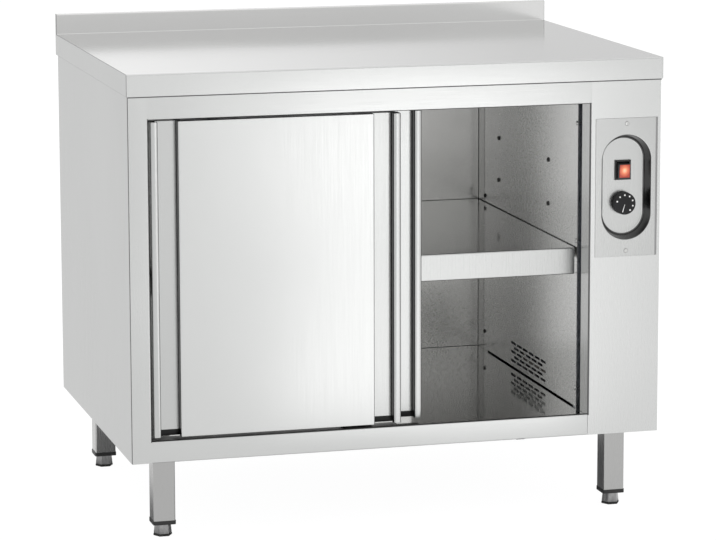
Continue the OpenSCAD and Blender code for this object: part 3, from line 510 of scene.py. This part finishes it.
def pressed_control_plate():
    """The plate with its deep-drawn dish: round at the rim and at the foot of its wall."""
    sheet, dish_depth, draft = 0.00115, 0.022, 0.006
    wall, wall_foot = 0.0012, 0.0048
    corner, foot_round, mouth_round = 0.0016, 0.0035, 0.0022
    bend_width, bend_drop = 0.0040, 0.0006
    low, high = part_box("control_plate")
    front, rear, back = low.y, low.y + sheet, high.y
    mid_z = (low.z + high.z) / 2
    reach = (DISH_H - DISH_W) / 2
    floor = front + dish_depth
    plate = block("control_plate_pressed", low, (high.x, rear, high.z))
    round_edges(plate, corner, 3, lambda middle, along: abs(along.y) > 0.9)
    split_faces(plate, lambda middle, normal: normal.y < -0.9, (high.x - bend_width, front, 0), (1, 0, 0))
    move_points(plate, lambda co: co.x > high.x - 0.0030 and co.y < front + 0.0001, (0, bend_drop, 0))
    turn = mid_z + 0.0001
    shell = stretched_drum("dish_shell", front + 0.0005, back, DISH_W / 2 + wall, DISH_W / 2 - wall_foot,
                           turn, reach)
    cut_away(plate, shell, "UNION")
    hollow = stretched_drum("dish_hollow", front - 0.0001, floor, DISH_W / 2, DISH_W / 2 - draft,
                            turn, reach)
    round_edges(hollow, foot_round, 5, lambda middle, along: middle.y > floor - 1e-5)
    cut_away(plate, hollow)

    def from_axis(middle):
        return math.hypot(middle.x - PLATE_X, max(0.0, abs(middle.z - turn) - reach))

    round_edges(plate, mouth_round, 5, lambda middle, along:
                abs(middle.y - front) < 2e-5 and abs(from_axis(middle) - DISH_W / 2) < 0.001)
    switch_low, switch_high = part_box("switch_body")
    bezel_lap, shaft_hole, screw_hole = 0.002, 0.004, 0.0022
    cut_away(plate, block("switch_hole", (switch_low.x + bezel_lap, front, switch_low.z + bezel_lap),
                          (switch_high.x - bezel_lap, back + 0.01, switch_high.z - bezel_lap)))
    cut_away(plate, drum("shaft_hole", PLATE_X, KNOB_Z, front, back + 0.01, shaft_hole, sides=32))
    for screw_z in SCREW_ZS:
        cut_away(plate, drum("screw_hole", PLATE_X, screw_z, front - 0.001, rear + 0.001, screw_hole,
                             sides=32))
    smooth(plate, 32)
    finished(plate, PLATE_STEEL, "cabinet", ["control_plate"])
    # Painted dark reflection on the dish's wall and the fillet at its mouth, and painted shadow along the
    # plate's right edge.
    second_finish(plate, DISH_SHADE_STEEL, lambda middle, normal: front + 0.0003 < middle.y < back and
                  from_axis(middle) < DISH_W / 2 + 0.0024 and abs(normal.y) < 0.96)
    second_finish(plate, RIM_STEEL, lambda middle, normal:
                  normal.x > 0.05 and middle.x > high.x - bend_width - 0.0005)


def moulded_switch():
    """The black bezel with its well, its body behind the plate, and the four tabs for its wires."""
    thick, rim, well, lap, body = 0.00245, 0.0031, 0.0215, 0.0021, 0.026
    tab_x, tab_z, tab_half_w, tab_half_t = 0.006, 0.008, 0.0031, 0.0004
    low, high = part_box("switch_body")
    front, seat = low.y, low.y + thick
    bezel = block("switch_bezel", low, (high.x, seat, high.z))
    round_edges(bezel, 0.0012, 3, lambda middle, along: abs(along.y) > 0.9)
    for side, width, depth in ((-1, rim, well), (1, lap, body)):
        choose(bezel, "FACE", lambda middle, normal: normal.y * side > 0.9 and
               (side < 0 or middle.y > seat - 1e-5))
        bpy.ops.mesh.inset(thickness=width)
        bpy.ops.mesh.extrude_region_move(TRANSFORM_OT_translate={"value": (0, depth, 0)})
        leave()
    round_edges(bezel, 0.0005, 3, lambda middle, along: middle.y < front + 1e-5)
    tabs = []
    for i in (-1, 1):
        for k in (-1, 1):
            x, z = PLATE_X + i * tab_x, (low.z + high.z) / 2 + k * tab_z
            tab = block("switch_tab", (x - tab_half_w, seat + 0.0255, z - tab_half_t),
                        (x + tab_half_w, high.y, z + tab_half_t))
            round_edges(tab, 0.0009, 2, lambda middle, along: abs(along.z) > 0.9)
            tabs.append(tab)
    work_on(bezel)
    for tab in tabs:
        tab.select_set(True)
    bpy.ops.object.join()
    smooth(bezel, 35)
    finished(bezel, BLACK_PLASTIC, "cabinet", ["switch_body"])


def rocker_with_lens():
    """The black rocker, pressed in at its foot, and the lit lens set into its face."""
    half_w, half_h = (rocker_hi.x - rocker_lo.x) / 2 - 0.0004, 0.01395
    pivot_y, pivot_z = bezel_lo.y + 0.009, LENS_Z
    face = pivot_y - 0.0175
    tilt, dip = math.radians(7), 0.0014

    def tip(piece):
        choose_all(piece)
        bpy.ops.transform.rotate(value=-tilt, orient_axis="X",
                                 center_override=(PLATE_X, pivot_y, pivot_z))
        leave()

    rocker = block("switch_rocker_black", (PLATE_X - half_w, face, pivot_z - half_h),
                   (PLATE_X + half_w, pivot_y + 0.002, pivot_z + half_h))
    choose(rocker, "FACE", lambda middle, normal: normal.y > 0.9)
    bpy.ops.mesh.extrude_region_move(TRANSFORM_OT_translate={"value": (0, 0.003, 0)})
    bpy.ops.transform.resize(value=(1, 1, 0.3), center_override=(PLATE_X, pivot_y, pivot_z))
    leave()
    choose(rocker, "EDGE", lambda middle, along: True)
    bpy.ops.mesh.bisect(plane_co=(PLATE_X, face, pivot_z), plane_no=(0, 0, 1))
    leave()
    move_points(rocker, lambda co: abs(co.z - pivot_z) < 1e-5 and co.y < face + 1e-5, (0, dip, 0))
    round_edges(rocker, 0.0007, 3)
    tip(rocker)
    smooth(rocker, 40)
    finished(rocker, BLACK_PLASTIC, "switch_rocker", ["switch_rocker"])

    left, right = PLATE_X - half_w + 0.0025, PLATE_X + half_w - 0.0014
    bottom, top = pivot_z - half_h + 0.0026, pivot_z + half_h - 0.0010
    lens = block("switch_lens", (left, face - 0.0004, bottom), (right, face + 0.003, top))
    choose(lens, "FACE", lambda middle, normal: normal.y < -0.9)
    bpy.ops.mesh.inset(thickness=0.0014)
    bpy.ops.transform.translate(value=(0.0012, -0.0006, -0.0010))
    bpy.ops.mesh.inset(thickness=0.0008)
    leave()
    round_edges(lens, 0.0004, 2)
    tip(lens)
    smooth(lens, 40)
    finished(lens, AMBER_LENS, "switch_rocker")


def fluted_knob():
    """The knob: a finely fluted rim on a plain skirt, seven dots and a pointer line on its face."""
    low, high = knob_lo, knob_hi
    radius, flutes, face_drop, skirt_depth = (high.x - low.x) / 2, 54, 0.0004, 0.0028
    sides = flutes * 2
    grip = drum("knob_grip", PLATE_X, KNOB_Z, low.y, high.y - 0.0012, radius - 0.0005, sides=sides)

    def in_flute(middle):
        angle = math.degrees(math.atan2(middle.z - KNOB_Z, middle.x - PLATE_X))
        return round(angle / (360 / sides) - 0.5) % 2 == 0

    choose(grip, "FACE", lambda middle, normal: abs(normal.y) < 0.5 and in_flute(middle))
    bpy.ops.mesh.inset(thickness=0.0002, depth=-0.0005, use_individual=True)
    leave()
    choose(grip, "FACE", lambda middle, normal: normal.y < -0.9 and middle.y < low.y + 1e-5)
    bpy.ops.mesh.inset(thickness=0.0010)
    bpy.ops.mesh.inset(thickness=0.0006)
    bpy.ops.transform.translate(value=(0, face_drop, 0))
    leave()
    skirt = drum("knob_skirt", PLATE_X, KNOB_Z, high.y - skirt_depth, high.y, radius, sides=sides)
    round_edges(skirt, 0.0009, 3, lambda middle, along: abs(along.y) < 0.5)
    cut_away(grip, skirt, "UNION")
    cut_away(grip, drum("knob_bore", PLATE_X, KNOB_Z, high.y - 0.0128, high.y + 0.001, 0.00305,
                        sides=32))
    smooth(grip, 30)
    finished(grip, KNOB_PLASTIC, "thermostat_knob", ["thermostat_knob"])

    face, dot_radius, dot_circle, pointer_turn = low.y + face_drop, 0.00155, 0.0158, math.radians(-16)
    dot = drum("knob_dot_1", PLATE_X, KNOB_Z, face - 0.0003, face + 0.0004, dot_radius, sides=28)
    round_edges(dot, 0.00015, 2, lambda middle, along: middle.y < face - 0.0002)
    smooth(dot, 40)
    places = [math.radians(a) for a in (164, 128, 92, 56, 20, -16, -51)]
    shift = [(dot_circle * math.cos(a), 0, dot_circle * math.sin(a)) for a in places]
    for number, move in enumerate(shift[1:], 2):
        twin = another(dot, f"knob_dot_{number}", move)
        finished(twin, WHITE_PAINT, "thermostat_knob")
    dot.data.transform(Matrix.Translation(shift[0]))
    finished(dot, WHITE_PAINT, "thermostat_knob")

    pointer = block("knob_pointer", (PLATE_X - 0.0008, face - 0.0003, KNOB_Z - 0.0165),
                    (PLATE_X + 0.0008, face + 0.0004, KNOB_Z - 0.0015))
    choose(pointer, "FACE", lambda middle, normal: normal.z > 0.9)
    bpy.ops.transform.resize(value=(0.45, 1, 1))
    leave()
    round_edges(pointer, 0.00025, 2)
    choose_all(pointer)
    bpy.ops.transform.rotate(value=pointer_turn, orient_axis="Y",
                             center_override=(PLATE_X, face, KNOB_Z))
    leave()
    smooth(pointer, 40)
    finished(pointer, WHITE_PAINT, "thermostat_knob")


# ---------------------------------------------------------------- door pulls

def crowned_pulls(side):
    """A door's two pulls: the lips a little round across, as folding leaves them, and painted shade on the
    folds beside the recess and at the recess's foot, with a painted dark reflection along the right edge."""
    lip, margin, crown, strips = 0.014, 0.003, 0.0005, 8
    recess, foot = 0.004, 0.011
    node = side + "_door_pulls"
    low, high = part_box(node)
    front = low.y
    piece = dressed(node, 0.0008, 2)
    # The slot for the guide's tongue leaves an underside that stays open only once it is in triangles.
    choose(piece, "FACE", lambda co, normal: normal.z < -0.9)
    bpy.ops.mesh.remove_doubles(threshold=0.00005)
    bpy.ops.mesh.quads_convert_to_tris(quad_method="BEAUTY", ngon_method="BEAUTY")
    leave()
    for edge in (low.x, high.x - lip):
        middle = edge + lip / 2
        for step in range(1, strips):
            split_faces(piece, lambda co, normal: edge + margin < co.x < edge + lip - margin and
                        normal.y < -0.95 and co.y < front + 0.0003,
                        (edge + lip * step / strips, front, 0), (1, 0, 0))
        for step in range(strips + 1):
            x = edge + lip * step / strips
            drop = crown * ((x - middle) / (lip / 2)) ** 2
            move_points(piece, lambda co: abs(co.x - x) < 0.0003 and co.y < front + 0.0002, (0, drop, 0))
    split_faces(piece, lambda co, normal: normal.y < -0.95 and co.y > front + recess,
                (0, 0, low.z + foot), (0, 0, 1))
    smooth(piece, 30)
    # Painted shade on the recess's floor at its foot, the fold walls and the upward faces at the foot, and
    # a painted dark reflection along the right edge.
    second_finish(piece, FOLD_STEEL, lambda middle, normal:
                  normal.y < -0.95 and middle.y > front + recess and middle.z < low.z + foot)
    second_finish(piece, FOLD_STEEL, lambda middle, normal:
                  abs(normal.x) > 0.9 and middle.y < front + 0.0145 and
                  min(abs(middle.x - low.x), abs(high.x - middle.x)) > 0.010 or
                  normal.z > 0.5 and middle.z < low.z + 0.03)
    second_finish(piece, EDGE_SHADE_STEEL, lambda middle, normal:
                  middle.x > high.x - 0.0012 and normal.x > 0.2 and normal.y < -0.1)


# ---------------------------------------------------------------- small pieces of the cabinet

def folded_worktop():
    """The worktop, with painted shade: a darker copy of its steel on the skirt and the welded ends, and a
    painted dark reflection along the ends' edges.
    """
    low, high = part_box("worktop")
    piece = dressed("worktop", 0.0011, 3)
    second_finish(piece, SKIRT_SHADE_STEEL, lambda middle, normal: normal.y < -0.7 and middle.y < low.y + 0.002)
    second_finish(piece, SIDE_SHADE_STEEL, lambda middle, normal: abs(normal.x) > 0.97)
    second_finish(piece, EDGE_SHADE_STEEL, lambda middle, normal: 0.2 < abs(normal.x) < 0.97 and
                  min(middle.x - low.x, high.x - middle.x) < 0.0015)


def shaded_door_fronts():
    """The doors' front skins, with painted shade on the flanges, which face the recesses and the track."""
    for node in ("left_door_front", "right_door_front"):
        second_finish(dressed(node), FOLD_STEEL, lambda middle, normal:
                      abs(normal.x) > 0.9 or abs(normal.z) > 0.5)


def shaded_cavity_floor():
    """The cavity's floor, with painted shade in the lane behind the closed doors."""
    lane_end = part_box("left_door_front")[1].x + 0.048
    lane_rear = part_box("right_door_back")[1].y - 0.012
    floor = dressed("cavity_floor")
    for place, way in (((lane_end, 0, 0), (1, 0, 0)), ((0, lane_rear, 0), (0, 1, 0))):
        split_faces(floor, lambda co, normal: normal.z > 0.9, place, way)
    smooth(floor, 30)
    second_finish(floor, LANE_STEEL, lambda middle, normal:
                  normal.z > 0.9 and middle.x < lane_end and middle.y < lane_rear)


def shaded_door_backs():
    """The doors' back skins, with painted shade on the fold at the foot."""
    for node in ("left_door_back", "right_door_back"):
        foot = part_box(node)[0].z
        second_finish(dressed(node), FOLD_STEEL, lambda middle, normal:
                      normal.z > 0.5 and middle.z < foot + 0.03)


def shaded_rails():
    """The rails under and over the doors, with painted shade where they face the lane."""
    sill_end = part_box("right_door_front")[1].x
    second_finish(dressed("front_bottom_rail"), LANE_STEEL, lambda middle, normal:
                  normal.z > 0.5 and middle.x < sill_end)
    second_finish(dressed("front_top_rail"), LANE_STEEL, lambda middle, normal: normal.z < -0.6)


def shaded_panel_shelf_and_screws():
    """The control compartment's front with a painted dark reflection along its edge, the shelf with its
    brushed front, and the screws: the plate's with painted shade on their sides, dark where they stand at
    the cavity's back."""
    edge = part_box("control_front_panel")[0].x
    second_finish(dressed("control_front_panel", 0.0008, 3), EDGE_SHADE_STEEL, lambda middle, normal:
                  abs(normal.x) > 0.25 and normal.y < -0.25 and middle.x < edge + 0.0030)
    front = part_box("shelf")[0].y
    second_finish(dressed("shelf"), PLATE_STEEL, lambda middle, normal:
                  normal.y < -0.9 and middle.y < front + 0.001)
    rear_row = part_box("cavity_floor")[1].y - 0.10
    second_finish(dressed("plate_screws", 0.0003, 2, 40), EDGE_SHADE_STEEL, lambda middle, normal:
                  abs(normal.y) < 0.8)
    second_finish(dressed("liner_screws", 0.0003, 2, 40), BLACK_PLASTIC, lambda middle, normal:
                  middle.y > rear_row)


def peg_bushes():
    """Black plugs with a bore, in the free peg holes of both liners."""
    row_height, peg_radius = 0.084, 0.006
    wall_left, wall_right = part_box("left_liner")[1].x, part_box("right_liner")[0].x
    pegs_low, pegs_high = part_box("shelf_pegs")
    peg_z = (pegs_low.z + pegs_high.z) / 2
    bush = drum("peg_bush_1", 0, 0, -0.0022, 0.0016, 0.0043, sides=40)
    choose(bush, "FACE", lambda middle, normal: normal.y < -0.9)
    bpy.ops.mesh.inset(thickness=0.0016)
    bpy.ops.mesh.extrude_region_move(TRANSFORM_OT_translate={"value": (0, 0.0026, 0)})
    leave()
    round_edges(bush, 0.0005, 3, lambda middle, along: middle.y < -0.0021)
    smooth(bush, 40)
    work_on(bush)
    bush.data.transform(Matrix.Rotation(math.radians(-90), 4, "Z"))
    number = 1
    for x, turned in ((wall_right, False), (wall_left, True)):
        for y in (pegs_low.y + peg_radius, pegs_high.y - peg_radius):
            for row in (1, 2):
                number += 1
                twin = another(bush, f"peg_bush_{number}", (x, y, peg_z + row * row_height), turned)
                finished(twin, BLACK_PLASTIC, "cabinet")
    bpy.data.objects.remove(bush, do_unlink=True)


def skirt_shadow_beads():
    """A dark bead of painted shadow in the gap between the worktop's skirt and the front frame, and
    one in the corner of the left side panel, where the step's shadow falls."""
    low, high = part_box("worktop")
    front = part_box("front_top_rail")[0].y
    foot, end_gap = low.z, 0.0025
    bead = block("worktop_shadow_bead", (low.x + end_gap, front - 0.0016, foot - 0.0018),
                 (high.x - end_gap, front + 0.0002, foot + 0.003))
    round_edges(bead, 0.0004, 2)
    smooth(bead)
    finished(bead, SHADOW_BEAD, "cabinet")
    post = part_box("front_left_post")
    corner_bead = block("corner_shadow_bead", (post[0].x - 0.0009, front + 0.0002, post[0].z + 0.0004),
                 (post[0].x + 0.0002, front + 0.0030, foot - 0.0010))
    round_edges(corner_bead, 0.0003, 2, lambda middle, along: abs(along.z) > 0.9)
    smooth(corner_bead)
    finished(corner_bead, SHADOW_BEAD, "cabinet")


def ground_welds():
    """The corners of the front frame, welded and ground flush."""
    rail_low, rail_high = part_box("front_top_rail")
    sill_low, sill_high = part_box("front_bottom_rail")
    face, width, lap, depth = rail_low.y, 0.0034, 0.0004, 0.0028
    top, bottom = rail_high.z - 0.0025, rail_low.z + 0.0020
    for name, x0, x1, z0, z1 in (
            ("weld_top_left", rail_low.x - width, rail_low.x + lap, bottom, top),
            ("weld_top_right", rail_high.x - lap, rail_high.x + width, bottom, top),
            ("weld_bottom_left", sill_low.x - width, sill_low.x + lap,
             sill_low.z + 0.0022, sill_high.z - 0.0020)):
        weld = block(name, (x0, face + 0.00001, z0), (x1, face + depth, z1))
        round_edges(weld, 0.0002, 2, lambda middle, along: abs(along.z) < 0.5)
        smooth(weld)
        finished(weld, POST_STEEL, "cabinet")


# ---------------------------------------------------------------- studio

def matt_paper(name, tone, roughness, glow=0.0):
    """A plain grey without shine, which may glow white."""
    paper = bpy.data.materials.new(name)
    paper.use_nodes = True
    shader = paper.node_tree.nodes["Principled BSDF"]
    shader.inputs["Base Color"].default_value = (tone, tone, tone, 1.0)
    shader.inputs["Roughness"].default_value = roughness
    shader.inputs["Specular IOR Level"].default_value = 0.0
    shader.inputs["Emission Color"].default_value = (1.0, 1.0, 1.0, 1.0)
    shader.inputs["Emission Strength"].default_value = glow
    return paper


def studio_floor():
    """A wide pale disc, larger than the camera sees, so that no horizon shows."""
    bpy.ops.mesh.primitive_circle_add(vertices=96, radius=40.0, fill_type="NGON", location=(0, 0, 0))
    floor = bpy.context.object
    floor.name = "studio_floor"
    floor.data.materials.append(matt_paper("studio_paper", 0.10, 0.9, glow=0.96))
    bpy.ops.object.transform_apply(location=True, rotation=True, scale=True)


def softbox(name, place, aim, size, brightness):
    """A lamp of a width and height that lights the cabinet and shows in the steel, but not in the view."""
    width, height = size
    lamp = bpy.data.lights.new(name, "AREA")
    lamp.shape = "RECTANGLE"
    lamp.size = width
    lamp.size_y = height
    lamp.energy = brightness * width * height * math.pi
    holder = bpy.data.objects.new(name, lamp)
    bpy.context.scene.collection.objects.link(holder)
    holder.location = place
    holder.rotation_euler = (Vector(aim) - Vector(place)).to_track_quat("-Z", "Y").to_euler()
    holder.visible_camera = False
    return holder


def floor_bounce(name, x, y, size, brightness):
    """A lamp that lies on the floor and points straight up, in line with what the front mirrors."""
    turn, height = math.radians(16.2), 0.01
    lamp = softbox(name, (x, y, height), (x, y, 1.0), size, brightness)
    lamp.rotation_euler = (math.pi, 0.0, turn)


def studio_lights():
    """White surroundings, a softbox overhead, two pale strips on the floor in front, and a lamp
    before the cavity's back wall, which gives the right liner its shine."""
    world = bpy.data.worlds.new("studio_white")
    world.use_nodes = True
    sky = world.node_tree.nodes["Background"]
    sky.inputs["Color"].default_value = (1.0, 1.0, 1.0, 1.0)
    sky.inputs["Strength"].default_value = 1.0
    bpy.context.scene.world = world
    softbox("overhead_softbox", (0.2, -0.3, 4.2), (0.0, 0.0, 0.5), (4.0, 3.5), 0.30)
    floor_bounce("near_floor_bounce", 0.66, -2.45, (0.62, 2.8), 0.80)
    floor_bounce("far_floor_bounce", 1.56, -5.55, (1.0, 3.2), 1.75)
    fill_x, fill_z = -0.045, 0.46
    fill_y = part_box("cavity_back")[0].y - 0.004
    softbox("cavity_fill", (fill_x, fill_y, fill_z), (fill_x, -3.0, fill_z), (0.50, 0.56), 0.75)


def mirrored_card(name, place, paper):
    """A card that shows only in the shine of the steel: not in the view, and it throws no shadow."""
    bpy.ops.mesh.primitive_plane_add(size=1.0)
    card = bpy.context.object
    card.name = name
    card.data.transform(place)
    card.data.materials.append(paper)
    card.visible_camera = False
    card.visible_diffuse = False
    card.visible_shadow = False


def shade_card():
    """A grey card on the floor: the steel mirrors it in the place of the cabinet's own shadow, which
    the photograph's cut-out white ground doesn't show."""
    left, right, front, rear = -0.525, 0.46, -0.34, 0.36
    size = Matrix.Diagonal((right - left, rear - front, 1.0, 1.0))
    middle = Matrix.Translation(((left + right) / 2, (front + rear) / 2, 0.0015))
    mirrored_card("shade_under_cabinet", middle @ size, matt_paper("shade_under_cabinet_cloth", 0.34, 1.0))


def graded_card():
    """A pale card behind the cabinet, darker to the right, for the worktop's shine."""
    width, height, mid_x, y, mid_z = 3.4, 2.4, 1.2, 2.6, 1.22
    tone = bpy.data.materials.new("graded_card_paper")
    tone.use_nodes = True
    tree = tone.node_tree
    tree.nodes.clear()
    place = tree.nodes.new("ShaderNodeTexCoord")
    split = tree.nodes.new("ShaderNodeSeparateXYZ")
    glow = tree.nodes.new("ShaderNodeEmission")
    out = tree.nodes.new("ShaderNodeOutputMaterial")
    tree.links.new(place.outputs["Object"], split.inputs["Vector"])
    tree.links.new(spread(tree, split.outputs["X"], 1.14, 0.80, 0.1, 1.2), glow.inputs["Strength"])
    tree.links.new(glow.outputs["Emission"], out.inputs["Surface"])
    upright = Matrix(((width, 0, 0, mid_x), (0, 0, 1, y), (0, height, 0, mid_z), (0, 0, 0, 1)))
    mirrored_card("graded_card", upright, tone)


def photo_camera():
    """The camera at the photograph's place, found from the cabinet's corners."""
    yaw, pitch, roll = math.radians(15.834), math.radians(9.402), math.radians(-0.045)
    ahead = Vector((math.sin(yaw) * math.cos(pitch), math.cos(yaw) * math.cos(pitch), -math.sin(pitch)))
    level = Vector((math.cos(yaw), -math.sin(yaw), 0.0))
    over = level.cross(ahead)
    right = math.cos(roll) * level + math.sin(roll) * over
    up = -math.sin(roll) * level + math.cos(roll) * over
    lens = bpy.data.cameras.new("photo_camera")
    lens.sensor_width = 36.0
    lens.lens = 166.5
    lens.shift_x = -0.0503
    lens.shift_y = -0.0615
    lens.clip_end = 200.0
    holder = bpy.data.objects.new("photo_camera", lens)
    bpy.context.scene.collection.objects.link(holder)
    turn = Matrix((right, up, -ahead)).transposed().to_4x4()
    holder.matrix_world = Matrix.Translation((-1.6195, -6.0151, 1.5350)) @ turn
    bpy.context.scene.camera = holder


pressed_control_plate()
moulded_switch()
rocker_with_lens()
fluted_knob()
peg_bushes()
skirt_shadow_beads()
ground_welds()
folded_worktop()
for sheet_piece in ("left_side_panel", "right_side_panel", "back_panel", "front_left_post",
                    "cavity_back", "left_liner", "right_liner", "top_track"):
    dressed(sheet_piece)
shaded_door_fronts()
shaded_cavity_floor()
shaded_door_backs()
shaded_rails()
shaded_panel_shelf_and_screws()
crowned_pulls("left")
crowned_pulls("right")
for solid_piece in ("leg_front_left", "leg_front_right", "leg_rear_left", "leg_rear_right",
                    "shelf_pegs", "cable_gland", "left_door_roller_left", "left_door_roller_right",
                    "right_door_roller_left", "right_door_roller_right"):
    dressed(solid_piece, 0.0003, 2, 40)
for turned_piece in ("leg_plugs", "foot_front_left", "foot_front_right", "foot_rear_left",
                     "foot_rear_right", "foot_pad_front_left", "foot_pad_front_right",
                     "foot_pad_rear_left", "foot_pad_rear_right"):
    dressed(turned_piece, 0.0009, 3, 40)

studio_floor()
studio_lights()
shade_card()
graded_card()
photo_camera()
bpy.context.scene.view_settings.view_transform = "Standard"
